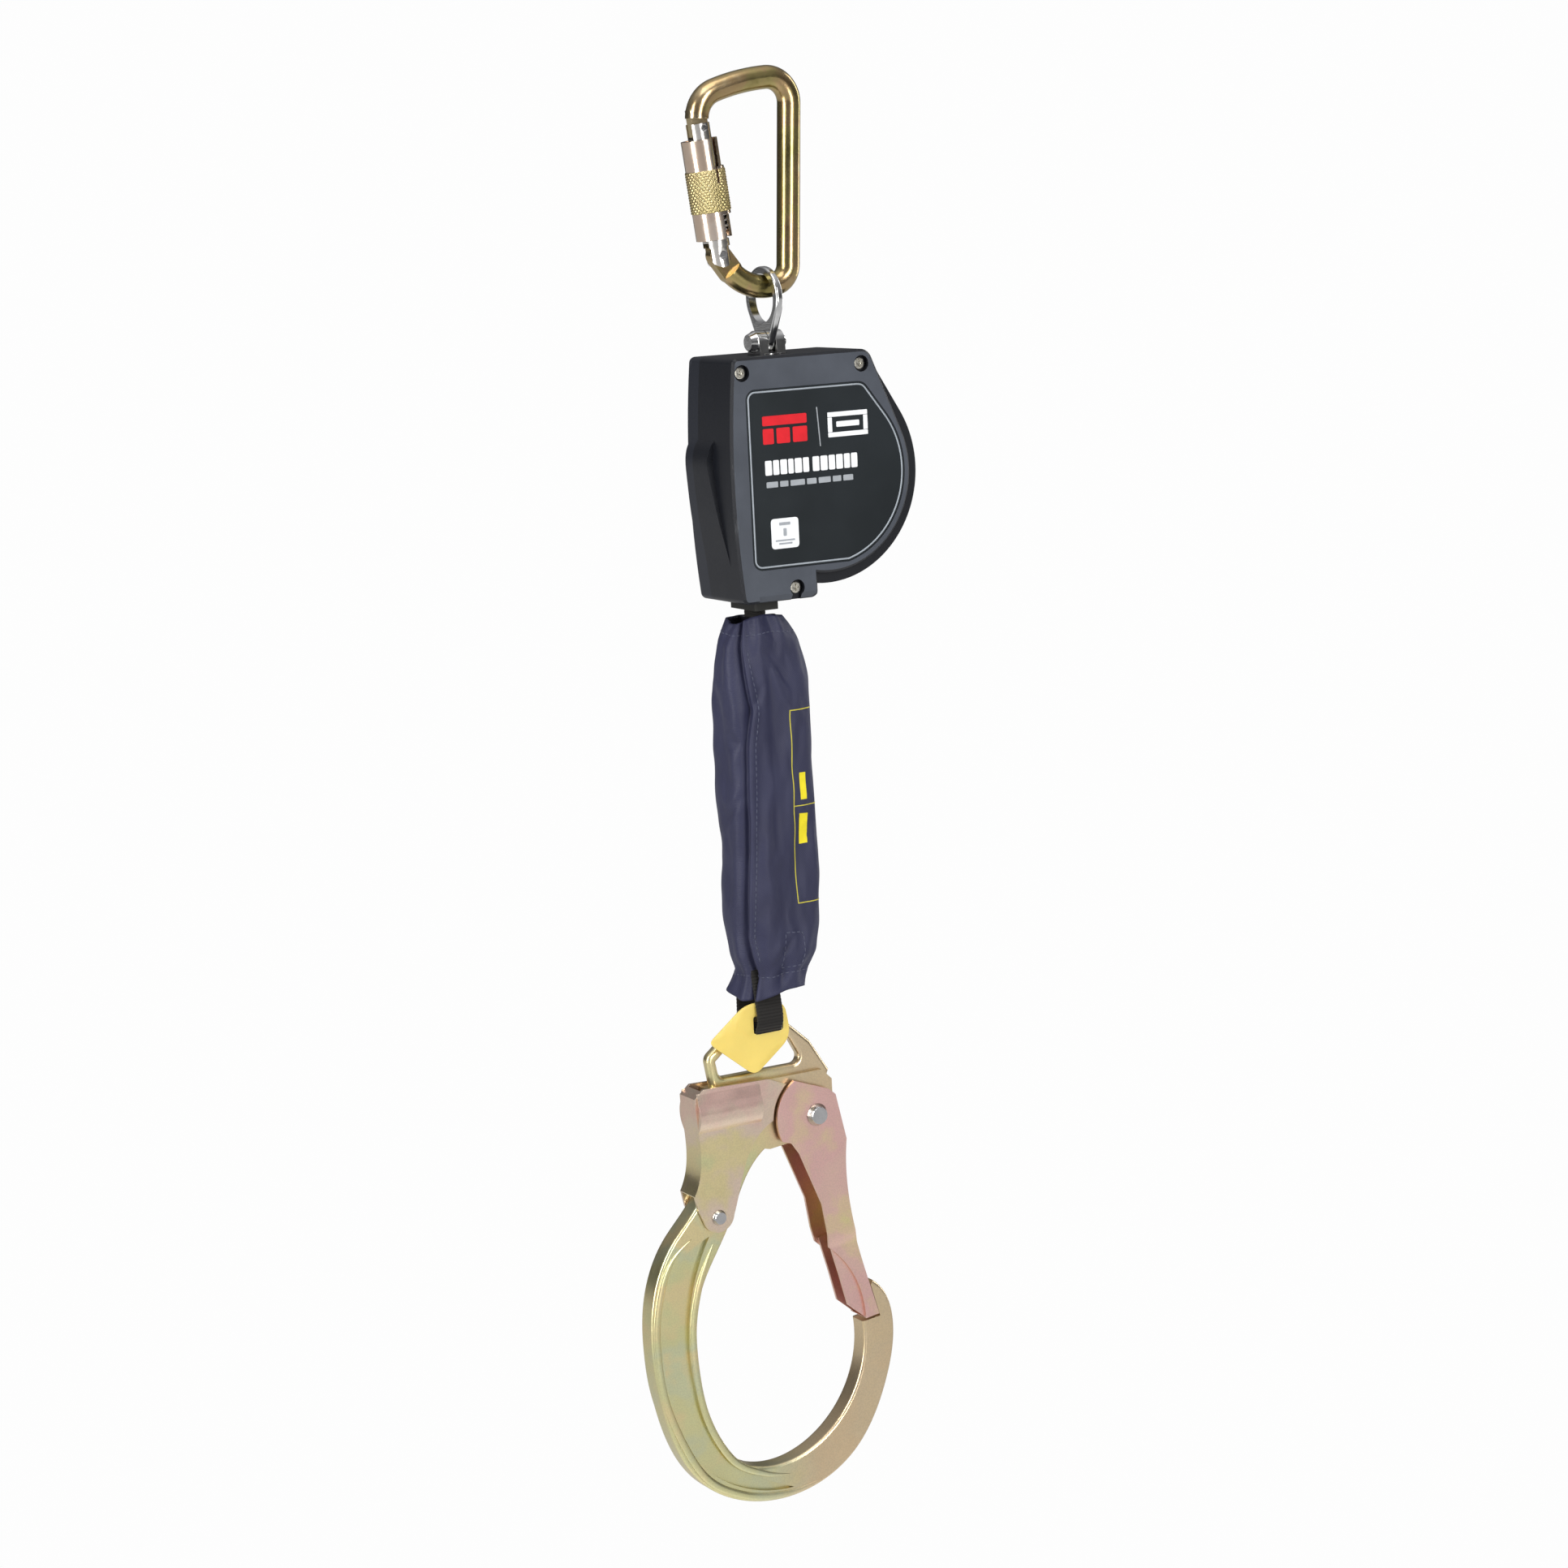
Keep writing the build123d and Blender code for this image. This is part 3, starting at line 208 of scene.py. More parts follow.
def bright_steel(name, colour, rough=0.12, brushed=0.0):
    material, tree, shader = new_material(name)
    streak = grain(tree, 300.0, 4.0, 0.6, (1.0, 1.0, 9.0))
    tone = ramp(tree, grain(tree, 120.0, 4.0), ((0.3, dim(colour, 0.82)), (0.7, colour)))
    roughness = maths(tree, "MULTIPLY_ADD", streak, 0.16 + brushed, rough - 0.06)
    normal = bump(tree, streak, 0.05 + brushed, 0.0002)
    plug(tree, shader, color=tone, metal=1.0, rough=roughness, normal=normal)
    return material


# front faces ahead of this depth get the paler front colour, a painted sheen
FRONT_SHEEN_Y = -0.0415
# depth behind which the nylon is made paler
REAR_PALE_Y = -0.012


def nylon(name, front, side, rough=0.42):
    """Moulded nylon: fine spark-eroded grain, a paler painted sheen on the front face only that stands in for
    its reflection of the lights, a few pale scuffs.
    """
    material, tree, shader = new_material(name)
    depth = axis(tree, "Y")
    # front-facing faces near the front take the paler front colour: painted sheen for the front face's
    # reflection of the lights, while the sides keep the dark colour
    facing = maths(tree, "LESS_THAN", axis(tree, "Y", "Normal"), -0.8)
    foremost = maths(tree, "LESS_THAN", depth, FRONT_SHEEN_Y)
    mottle = grain(tree, 28.0, 4.0, 0.6)
    front_sheen_tone = ramp(tree, mottle, ((0.35, dim(front, 0.82)), (0.68, front)))
    colour = mix(tree, maths(tree, "MULTIPLY", facing, foremost), side, front_sheen_tone)
    # parts behind this depth are made paler, half way to three times the side colour
    rearmost = maths(tree, "GREATER_THAN", depth, REAR_PALE_Y)
    colour = mix(tree, maths(tree, "MULTIPLY", rearmost, 0.5), colour, dim(side, 3.0))
    scuff = grain(tree, 55.0, 6.0, 0.75, (1.0, 1.0, 0.18))
    scuffed = ramp(tree, scuff, ((0.66, (0, 0, 0)), (0.74, (1, 1, 1))))
    colour = mix(tree, maths(tree, "MULTIPLY", scuffed, 0.08), colour, (0.42, 0.44, 0.47))
    fine = grain(tree, 1900.0, 2.0)
    roughness = maths(tree, "MULTIPLY_ADD", mottle, 0.2, rough - 0.1)
    normal = bump(tree, fine, 0.2, 0.0002)
    plug(tree, shader, color=colour, rough=roughness, normal=normal, spec=0.32)
    return material


def plain_print(name, colour, rough=0.45):
    """Screen-printed ink with a slightly uneven film."""
    material, tree, shader = new_material(name)
    tone = ramp(tree, grain(tree, 160.0, 4.0), ((0.3, dim(colour, 0.88)), (0.7, colour)))
    normal = bump(tree, grain(tree, 1500.0), 0.08, 0.0001)
    plug(tree, shader, color=tone, rough=rough, spec=0.25, normal=normal)
    return material


def film(name, shade, colour):
    """Dark glossy label film with a few pale flecks."""
    material, tree, shader = new_material(name)
    tone = ramp(tree, grain(tree, 18.0, 3.0), ((0.3, shade), (0.7, colour)))
    fleck = ramp(tree, grain(tree, 900.0, 3.0, 0.7), ((0.68, (0, 0, 0)), (0.8, (1, 1, 1))))
    tone = mix(tree, maths(tree, "MULTIPLY", fleck, 0.05), tone, (0.3, 0.32, 0.34))
    normal = bump(tree, grain(tree, 1200.0), 0.1, 0.0001)
    plug(tree, shader, color=tone, rough=0.42, spec=0.25, normal=normal)
    return material


def woven(name, colour, shade, pitch, sheen=0.35):
    """Plain weave in object space: two crossed thread waves, no UVs needed."""
    material, tree, shader = new_material(name)
    around = maths(tree, "ADD", axis(tree, "X"), axis(tree, "Y"))
    weave = maths(tree, "MULTIPLY", wave(tree, axis(tree, "Z"), pitch), wave(tree, around, pitch))
    cloud = grain(tree, 35.0, 4.0)
    tone = ramp(tree, cloud, ((0.3, shade), (0.7, colour)))
    tone = mix(tree, maths(tree, "MULTIPLY_ADD", weave, 0.12, 0.5), tone, shade)
    normal = bump(tree, weave, 0.3, 0.00012)
    normal = bump(tree, grain(tree, 420.0, 4.0), 0.16, 0.0005, normal)
    plug(tree, shader, color=tone, rough=0.55, normal=normal, sheen=sheen, sheen_rough=0.35,
         sheen_tint=tuple(min(1.0, part * 3 + 0.25) for part in colour), spec=0.4)
    return material


def webbing(name, colour, rib_pitch, thread_pitch):
    """Heavy woven strap: ribs across the strap and a fine thread along it."""
    material, tree, shader = new_material(name)
    thread = wave(tree, axis(tree, "Y"), thread_pitch)
    height = maths(tree, "ADD", wave(tree, axis(tree, "Z"), rib_pitch), maths(tree, "MULTIPLY", thread, 0.4))
    # rib crests are painted lighter and the hollows between them darker: a painted highlight and shade that
    # follow the ribs' height
    light = tuple(part * 2.0 + 0.003 for part in colour)
    tone = mix(tree, maths(tree, "MULTIPLY_ADD", height, 0.18, 0.35), colour, light)
    fuzz = grain(tree, 2200.0, 3.0, 0.7)
    normal = bump(tree, height, 0.5, 0.00022)
    normal = bump(tree, fuzz, 0.25, 0.0002, normal)
    plug(tree, shader, color=tone, rough=0.82, normal=normal, sheen=0.08, sheen_rough=0.5, spec=0.15)
    return material


def plastic_sheet(name, colour):
    """Satin plastic with rubbed, duller patches."""
    material, tree, shader = new_material(name)
    tone = ramp(tree, grain(tree, 60.0, 4.0), ((0.3, dim(colour, 0.93)), (0.7, colour)))
    rub = ramp(tree, grain(tree, 150.0, 6.0, 0.75), ((0.66, (0, 0, 0)), (0.76, (1, 1, 1))))
    tone = mix(tree, maths(tree, "MULTIPLY", rub, 0.25), tone, (0.6, 0.47, 0.2))
    normal = bump(tree, grain(tree, 800.0), 0.12, 0.0002)
    plug(tree, shader, color=tone, rough=0.42, subsurface=0.15, normal=normal)
    return material


PALE_GOLD = (0.90, 0.77, 0.42)
GREEN_GOLD = (0.80, 0.78, 0.42)
PALE_GREEN = (0.74, 0.76, 0.48)
BOWL_BRONZE = (0.84, 0.63, 0.42)
ROSE = (0.92, 0.62, 0.55)
PEACH = (0.92, 0.70, 0.48)
OLIVE = (0.30, 0.25, 0.09)

MATERIALS = {
    # in each chromate look the second colour is the grazing-angle tint: partly the film's hue shift, partly
    # painted edge shade
    "carabiner_steel": chromate(
        "carabiner_steel",
        ((0.2, OLIVE), (0.42, (0.44, 0.36, 0.15)), (0.6, (0.48, 0.33, 0.17)),
         (0.85, (0.64, 0.51, 0.31))),
        (0.30, 0.26, 0.09), rough=0.24, patch=34.0, speckle=0.4,
    ),
    "sleeve_steel": chromate(
        "sleeve_steel", ((0.2, (0.74, 0.64, 0.54)), (0.5, (0.82, 0.70, 0.60)), (0.8, (0.72, 0.56, 0.44))),
        (0.62, 0.5, 0.36), rough=0.2, patch=26.0, speckle=0.3,
    ),
    "knurl_steel": chromate(
        "knurl_steel", ((0.2, (0.46, 0.38, 0.17)), (0.5, (0.58, 0.48, 0.24)), (0.8, (0.50, 0.38, 0.20))),
        (0.36, 0.29, 0.12), rough=0.30, patch=40.0, speckle=0.4,
    ),
    "hook_steel": chromate(
        "hook_steel",
        ((0.12, PEACH), (0.34, PALE_GOLD), (0.52, GREEN_GOLD), (0.66, PALE_GREEN), (0.82, PALE_GOLD)),
        (0.60, 0.47, 0.27), rough=0.33, patch=15.0, tooth=0.5, drift=(-0.055, -0.018, BOWL_BRONZE),
    ),
    "gate_steel": chromate(
        "gate_steel",
        ((0.0, PALE_GOLD), (0.16, PEACH), (0.34, ROSE), (0.66, (0.92, 0.58, 0.55)), (0.95, PEACH)),
        (0.66, 0.47, 0.22), rough=0.33, patch=26.0,
    ),
    "lever_steel": chromate(
        "lever_steel",
        ((0.15, GREEN_GOLD), (0.38, PALE_GOLD), (0.6, (0.9, 0.72, 0.58)), (0.85, ROSE)),
        (0.6, 0.5, 0.3), rough=0.30, patch=18.0, tooth=0.3,
    ),
    "polished_steel": bright_steel("polished_steel", (0.72, 0.72, 0.71), 0.12),
    "rivet_steel": bright_steel("rivet_steel", (0.66, 0.66, 0.66), 0.16),
    "gate_nose_steel": bright_steel("gate_nose_steel", (0.80, 0.77, 0.72), 0.2),
    "spring_steel": bright_steel("spring_steel", (0.46, 0.46, 0.47), 0.3),
    "screw_steel": bright_steel("screw_steel", (0.72, 0.69, 0.6), 0.24),
    "frame_steel": bright_steel("frame_steel", (0.6, 0.6, 0.61), 0.34, 0.1),
    "drum_aluminium": bright_steel("drum_aluminium", (0.76, 0.77, 0.78), 0.36, 0.12),
    "bush_bronze": bright_steel("bush_bronze", (0.62, 0.42, 0.2), 0.36, 0.08),
    # for each nylon the first colour is the front face's paler painted sheen, the second its plain dark
    # colour
    "case_nylon": nylon("case_nylon", (0.062, 0.070, 0.086), (0.006, 0.007, 0.010)),
    "guide_plastic": nylon("guide_plastic", (0.02, 0.02, 0.017), (0.012, 0.012, 0.010), 0.5),
    "plate_film": film("plate_film", (0.007, 0.010, 0.012), (0.012, 0.016, 0.019)),
    "plate_rim": plain_print("plate_rim", (0.30, 0.33, 0.36), 0.35),
    "pouch_nylon": woven(
        "pouch_nylon", (0.027, 0.029, 0.070), (0.017, 0.018, 0.047), 0.9 * MM, sheen=0.10,
    ),
    "pouch_thread": woven("pouch_thread", (0.085, 0.09, 0.14), (0.05, 0.055, 0.09), 0.6 * MM),
    "pouch_lining": woven("pouch_lining", (0.02, 0.02, 0.034), (0.012, 0.012, 0.02), 0.9 * MM),
    "black_webbing": webbing("black_webbing", (0.012, 0.011, 0.010), 1.5 * MM, 0.8 * MM),
    "tag_yellow": plastic_sheet("tag_yellow", (0.76, 0.54, 0.12)),
    "ink_red": plain_print("ink_red", (0.62, 0.010, 0.018)),
    "ink_white": plain_print("ink_white", (0.78, 0.79, 0.80)),
    "ink_grey": plain_print("ink_grey", (0.32, 0.34, 0.36)),
    "ink_yellow": plain_print("ink_yellow", (0.50, 0.44, 0.05)),
    "ink_pale_yellow": plain_print("ink_pale_yellow", (0.74, 0.62, 0.02)),
}

NODE_SLOTS = {
    "carabiner_steel": ("carabiner_body",),
    "gate_nose_steel": ("carabiner_gate",),
    "sleeve_steel": ("lock_sleeve",),
    "polished_steel": ("eye_ring", "swivel_fork", "swivel_rivet", "gate_latch_pin"),
    "rivet_steel": ("gate_rivet", "hook_gate_rivet", "lever_rivet"),
    "spring_steel": ("gate_spring", "sleeve_spring", "motor_spring", "hook_gate_spring", "lever_spring",
                     "gate_plunger", "shaft_circlips"),
    "screw_steel": ("cover_screws",),
    "frame_steel": ("anchor_bracket", "main_shaft", "ratchet_ring", "pawl_a", "pawl_b", "pawl_pins",
                    "swivel_nut", "swivel_washer"),
    "drum_aluminium": ("drum", "drum_front_flange"),
    "bush_bronze": ("shaft_bushes",),
    "case_nylon": ("rear_cover", "front_cover"),
    "guide_plastic": ("web_guide",),
    "plate_film": ("name_plate",),
    "black_webbing": ("web_roll", "tear_web_pack", "lifeline_web", "lower_web_loop"),
    "hook_steel": ("hook_body",),
    "gate_steel": ("hook_gate",),
    "lever_steel": ("lock_lever",),
    "pouch_nylon": ("absorber_pouch",),
    "tag_yellow": ("wear_tag",),
}
# radius of the rounded edges, in mm
EDGE_ROUND = {
    "front_cover": 0.5, "rear_cover": 0.5, "hook_body": 0.9, "hook_gate": 0.45, "lock_lever": 0.45,
    "lock_sleeve": 0.3, "carabiner_body": 0.3, "carabiner_gate": 0.25, "swivel_fork": 0.4,
    "swivel_rivet": 0.3, "hook_gate_rivet": 0.5, "lever_rivet": 0.4, "cover_screws": 0.15,
    "web_guide": 0.4, "name_plate": 0.05, "gate_latch_pin": 0.2, "gate_rivet": 0.2,
}


WELD_GAP = 0.00001
SHARP_ANGLE = math.radians(28.0)


def soften(piece, width):
    """Welds the facets, rounds the sharp edges and evens the shading, as modifiers."""
    weld = piece.modifiers.new("weld", "WELD")
    weld.merge_threshold = WELD_GAP
    bevel = piece.modifiers.new("round", "BEVEL")
    bevel.width = width * MM
    bevel.segments = 3
    bevel.limit_method = "ANGLE"
    bevel.angle_limit = SHARP_ANGLE
    bevel.harden_normals = False
    even = piece.modifiers.new("even", "WEIGHTED_NORMAL")
    even.mode = "FACE_AREA"
    even.keep_sharp = False


def smooth_shade(mesh):
    mesh.polygons.foreach_set("use_smooth", [True] * len(mesh.polygons))


for material_name, members in NODE_SLOTS.items():
    for member in members:
        shown = NODES[member]
        shown.data.materials.clear()
        shown.data.materials.append(MATERIALS[material_name])
        if member in EDGE_ROUND:
            if shown.data.has_custom_normals:
                shown.data.attributes.remove(shown.data.attributes["custom_normal"])
            smooth_shade(shown.data)
            soften(shown, EDGE_ROUND[member])


def new_piece(name, verts, faces, material, body=None, smooth=True):
    mesh = bpy.data.meshes.new(name)
    mesh.from_pydata([tuple(v) for v in verts], [], faces)
    mesh.validate()
    mesh.materials.append(MATERIALS[material])
    if smooth:
        smooth_shade(mesh)
    made = add_object(name, mesh)
    if body:
        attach(made, body)
    return made


# ------------------------------------------------------------------------------- mesh helpers


def tube(rings, caps=False, first=0):
    """Faces between equal rings of vertices."""
    count = len(rings[0])
    faces = []
    for row in range(len(rings) - 1):
        for step in range(count):
            after = (step + 1) % count
            low, high = first + row * count, first + (row + 1) * count
            faces.append((low + step, low + after, high + after, high + step))
    if caps:
        faces.append(tuple(first + step for step in reversed(range(count))))
        faces.append(tuple(first + (len(rings) - 1) * count + step for step in range(count)))
    return faces


CURVE_PARTS = 24


def run_lengths(points):
    """Length along a path up to each of its points."""
    lengths = [0.0]
    for one, two in zip(points, points[1:]):
        lengths.append(lengths[-1] + (two - one).length)
    return lengths


def resample(points, step):
    """Smooth open path through the points, at an even step."""
    spots = [Vector(p) for p in points]
    fine = []
    for index in range(len(spots) - 1):
        before = spots[max(index - 1, 0)]
        here, there = spots[index], spots[index + 1]
        after = spots[min(index + 2, len(spots) - 1)]
        for part in range(CURVE_PARTS):
            t = part / CURVE_PARTS
            fine.append(0.5 * ((2 * here) + (there - before) * t
                               + (2 * before - 5 * here + 4 * there - after) * t * t
                               + (3 * here - before - 3 * there + after) * t ** 3))
    fine.append(spots[-1])
    lengths = run_lengths(fine)
    count = max(2, round(lengths[-1] / step))
    wanted = np.linspace(0, lengths[-1], count + 1)
    table = np.array([tuple(p) for p in fine])
    return [Vector(tuple(np.interp(w, lengths, table[:, k]) for k in range(3))) for w in wanted]


def heading(points, index):
    """Unit direction of a path at one of its points."""
    return (points[min(index + 1, len(points) - 1)] - points[max(index - 1, 0)]).normalized()


def polar(degrees):
    """Unit vector round the hanging line."""
    return Vector((math.cos(math.radians(degrees)), math.sin(math.radians(degrees)), 0.0))


# ------------------------------------------------------------------------------ shock pouch

# height, middle in X, half width, half depth, in mm
POUCH_TABLE = [
    (-65.8, -31.5, 11.5, 11.0), (-70.0, -31.0, 14.5, 12.6), (-77.0, -30.5, 18.4, 15.0),
    (-86.0, -30.2, 20.8, 16.4), (-97.0, -30.0, 22.2, 17.2), (-125.0, -29.7, 22.9, 17.6),
    (-160.0, -29.5, 22.6, 17.5), (-190.0, -29.5, 22.9, 17.4), (-216.0, -29.5, 22.2, 17.0),
    (-228.0, -30.4, 20.8, 16.0), (-236.5, -32.4, 16.6, 13.2), (-241.0, -33.8, 16.8, 13.6),
    (-246.5, -35.2, 17.8, 14.2),
]
# height in mm and angle in degrees of the front crease
CREASE_PATH = [
    (-66, 212), (-79, 214), (-98, 222), (-108, 226), (-125, 219), (-148, 217), (-178, 213),
    (-203, 209), (-217, 205), (-228, 211), (-236, 219), (-247, 221),
]
# depth in mm, angle, turn in degrees per mm, width in degrees, height, reach in mm
FOLDS = [
    (-2.0, 196, 2.2, 7.0, -155, 11.0), (1.2, 208, 2.0, 9.0, -150, 12.0),
    (-1.9, 202, 0.0, 8.0, -123.6, 3.4), (-1.4, 232, 1.6, 6.0, -105, 8.0),
    (-1.2, 285, -2.4, 7.0, -92, 8.0), (-1.1, 262, 2.6, 6.0, -226, 7.0),
]
# relief in mm, place beside the crease and width in degrees: valley, shoulder, rolled lip, outer swell
SEAM_FOLDS = [(-4.0, -1.5, 3.6), (-1.6, -7.0, 7.5), (1.5, 6.5, 5.5), (0.6, -20.0, 9.0)]
POUCH_SQUARENESS = 2.9
GATHERS = 9
POUCH_ROWS = 92
POUCH_STEPS = 120
HANG_MM = HANG_Y / MM


def along_pouch(z):
    """Middle in X and the half sizes of the pouch at height z, in mm."""
    heights = [-row[0] for row in POUCH_TABLE]
    return tuple(float(np.interp(-z, heights, [row[k] for row in POUCH_TABLE])) for k in (1, 2, 3))


def crease_angle(z):
    return float(np.interp(-z, [-p[0] for p in CREASE_PATH], [p[1] for p in CREASE_PATH]))


def hump(distance, width):
    return math.exp(-((distance / width) ** 2))


def swing(first, second):
    """Signed difference of two angles, in degrees."""
    return (first - second + 180.0) % 360.0 - 180.0


def crumple(angle, z):
    """Depth in mm of the larger folds: negative goes in."""
    way = polar(angle)
    spot = Vector((way.x * 1.3, way.y * 1.3, z * 0.032))
    depth = 1.5 * noise.noise(spot * 1.1 + Vector((3.1, 0.4, 7.7)))
    depth += 0.7 * noise.noise(spot * 2.6 + Vector((1.0, 8.4, 2.2)))
    for size, place, turn, width, height, reach in FOLDS:
        depth += size * hump(swing(angle, place + (z - height) * turn), width) * hump(z - height, reach)
    gathers = hump(z + 64, 13.0) + 0.9 * hump(z + 237, 6.0)
    depth += 0.9 * gathers * math.sin(math.radians(angle * GATHERS + 40 * math.sin(math.radians(2 * angle))))
    return depth


def seam_relief(angle, z):
    """The overlapping panel edges, a valley with a rolled lip, at the front left and the back right."""
    relief = 0.0
    for turn in (0.0, 180.0):
        away = swing(angle, crease_angle(z) + turn)
        relief += sum(size * hump(away - place, width) for size, place, width in SEAM_FOLDS)
    return relief


def pouch_point(angle, z, extra):
    middle, half_x, half_y = along_pouch(z)
    across, deep = math.cos(math.radians(angle)), math.sin(math.radians(angle))
    power = POUCH_SQUARENESS
    radius = (abs(across / half_x) ** power + abs(deep / half_y) ** power) ** (-1 / power) + extra
    return Vector((middle + across * radius, HANG_MM + deep * radius, z))


pouch_rings = []
pouch_places = []
for row in range(POUCH_ROWS + 1):
    part = row / POUCH_ROWS
    for step in range(POUCH_STEPS):
        angle = 360.0 * step / POUCH_STEPS
        lift = 2.2 * hump(swing(angle, 255), 50.0) - 2.6 * hump(swing(angle, 190), 40.0)
        z = POUCH_TABLE[0][0] + part * (POUCH_TABLE[-1][0] - POUCH_TABLE[0][0])
        lobes = 1.8 * math.cos(math.radians(2 * (angle - 215))) * max(0.0, part - 0.93) / 0.07
        z_here = z + lift * max(0.0, 1 - part * 14) - lobes
        pouch_places.append((angle, z))
        point = pouch_point(angle, z, crumple(angle, z))
        pouch_rings.append(mm(point.x, point.y, z_here))
ring_rows = [pouch_rings[row * POUCH_STEPS:(row + 1) * POUCH_STEPS] for row in range(POUCH_ROWS + 1)]
pouch = new_piece("sewn_pouch", pouch_rings, tube(ring_rows), "pouch_nylon")
pouch.data.materials.append(MATERIALS["pouch_lining"])

PUFF_CAP = 2.6 * MM
HELD_TOP, HELD_LOW = 5, 9
CLOTH_FRAMES = 20
rims = pouch.vertex_groups.new(name="rims")
total = len(pouch.data.vertices)
for edge_rows in (range(HELD_TOP * POUCH_STEPS), range(total - HELD_LOW * POUCH_STEPS, total)):
    rims.add(list(edge_rows), 1.0, "REPLACE")
cloth = pouch.modifiers.new("puff", "CLOTH")
fabric = cloth.settings
fabric.quality = 6
fabric.mass = 0.2
fabric.tension_stiffness = fabric.compression_stiffness = 30.0
fabric.bending_stiffness = 1.2
fabric.use_pressure = True
fabric.uniform_pressure_force = 4.0
fabric.vertex_group_mass = "rims"
fabric.effector_weights.gravity = 0.0
cloth.collision_settings.use_collision = False
cloth.collision_settings.use_self_collision = False
cloth.point_cache.frame_start, cloth.point_cache.frame_end = 1, CLOTH_FRAMES
for number in range(1, CLOTH_FRAMES + 1):
    bpy.context.scene.frame_set(number)
posed = pouch.evaluated_get(bpy.context.evaluated_depsgraph_get()).to_mesh()
puffed = [v.co.copy() for v in posed.vertices]
pouch.evaluated_get(bpy.context.evaluated_depsgraph_get()).to_mesh_clear()
pouch.modifiers.remove(cloth)
bpy.context.scene.frame_set(1)
for vertex, target in zip(pouch.data.vertices, puffed):
    move = target - vertex.co
    if move.length > PUFF_CAP:
        move *= PUFF_CAP / move.length
    vertex.co += move

for vertex, (angle, z) in zip(pouch.data.vertices, pouch_places):
    middle = along_pouch(z)[0]
    outward = vertex.co - mm(middle, HANG_MM, vertex.co.z / MM)
    outward.z = 0.0
    vertex.co += outward.normalized() * seam_relief(angle, z) * MM
smoother = pouch.modifiers.new("smooth", "SUBSURF")
smoother.levels = smoother.render_levels = 1
lining = pouch.modifiers.new("cloth_thickness", "SOLIDIFY")
lining.thickness = 1.1 * MM
lining.offset = -1.0
lining.material_offset = 1
lining.material_offset_rim = 0
outer_sign = sum(f.normal.dot(f.center - mm(-30, HANG_MM, f.center.z / MM)) for f in pouch.data.polygons)
if outer_sign < 0:
    pouch.data.flip_normals()
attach(pouch, "absorber")
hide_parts("absorber_pouch")

shown_pouch = pouch.evaluated_get(bpy.context.evaluated_depsgraph_get())
shell_mesh = shown_pouch.to_mesh()
pouch_tree = BVHTree.FromPolygons([v.co.copy() for v in shell_mesh.vertices],
                                  [tuple(f.vertices) for f in shell_mesh.polygons])
shown_pouch.to_mesh_clear()


def on_pouch(angle, z):
    """Point and normal of the pouch's skin, in metres, at an angle round it."""
    middle = mm(along_pouch(z)[0], HANG_MM, z)
    way = polar(angle)
    hit, normal, _, _ = pouch_tree.ray_cast(middle + way * 0.08, -way)
    if hit is None:
        return middle + way * 0.02, way
    return hit, normal if normal.dot(way) > 0 else -normal


def front_angle(x, z):
    """Angle round the pouch of the point on its front at this x."""
    middle, _, half_y = along_pouch(z)
    return math.degrees(math.atan2(-half_y, x - middle))


# share of the dash's length, thickness and height above the cloth, both as shares of the thread's radius
STITCH_PROFILE = [(0.0, 0.25, -0.2), (0.2, 0.85, 0.25), (0.5, 1.0, 0.5), (0.8, 0.85, 0.25), (1.0, 0.25, -0.2)]


def stitch_rows(paths, pitch, length, radius):
    """Thread dashes laid along paths of (angle, z) on the pouch."""
    verts, faces = [], []
    for path in paths:
        skin = [on_pouch(angle, z) for angle, z in path]
        lengths = run_lengths([spot for spot, _ in skin])
        place = 0.5 * pitch
        while place < lengths[-1] - 0.5 * pitch:
            ends = []
            for spot in (place - length / 2, place + length / 2):
                index = min(max(int(np.searchsorted(lengths, spot)), 1), len(skin) - 1)
                share = (spot - lengths[index - 1]) / max(lengths[index] - lengths[index - 1], 1e-9)
                ends.append(skin[index - 1][0].lerp(skin[index][0], min(max(share, 0.0), 1.0)))
            normal = skin[index][1]
            way = (ends[1] - ends[0]).normalized()
            side = way.cross(normal).normalized()
            rings = []
            for share, thick, high in STITCH_PROFILE:
                centre = ends[0].lerp(ends[1], share) + normal * radius * high
                rings.append([centre + (side * math.cos(k * math.pi / 3) + normal * math.sin(k * math.pi / 3))
                              * radius * thick for k in range(6)])
            faces += tube(rings, caps=True, first=len(verts))
            verts += [point for ring in rings for point in ring]
            place += pitch
    return verts, faces


def sweep_path(corners, steps=14):
    """Straight legs between (angle, z) corners, cut into steps."""
    path = []
    for (a, b), (c, d) in zip(corners, corners[1:]):
        path += [(a + (c - a) * k / steps, b + (d - b) * k / steps) for k in range(steps)]
    return path + [corners[-1]]


top_hem = [(angle, -72.6 + 0.6 * math.sin(math.radians(angle * 3))) for angle in range(0, 363, 3)]
low_hem = [(angle, -237.0 + 0.5 * math.sin(math.radians(angle * 4))) for angle in range(0, 363, 3)]
seams = [[(crease_angle(z) + turn, z) for z in range(-80, -232, -3)] for turn in (12.0, 192.0)]
# x, the height the angle is taken at, and the height of the stitch, in mm
TACK_CORNERS = [(-31.5, -216, -216.5), (-21.0, -217, -217.5), (-23.0, -233, -233.5), (-33.5, -234, -234.0),
                (-31.5, -216, -216.5)]
box_tack = sweep_path([(front_angle(x, z), stitch_z) for x, z, stitch_z in TACK_CORNERS])
STITCH_PITCH, STITCH_LENGTH, THREAD_R = 2.9 * MM, 2.1 * MM, 0.26 * MM
stitch_verts, stitch_faces = stitch_rows([top_hem, low_hem, *seams, box_tack],
                                         STITCH_PITCH, STITCH_LENGTH, THREAD_R)
new_piece("pouch_stitching", stitch_verts, stitch_faces, "pouch_thread", "absorber")


INK_SINK = 0.0004


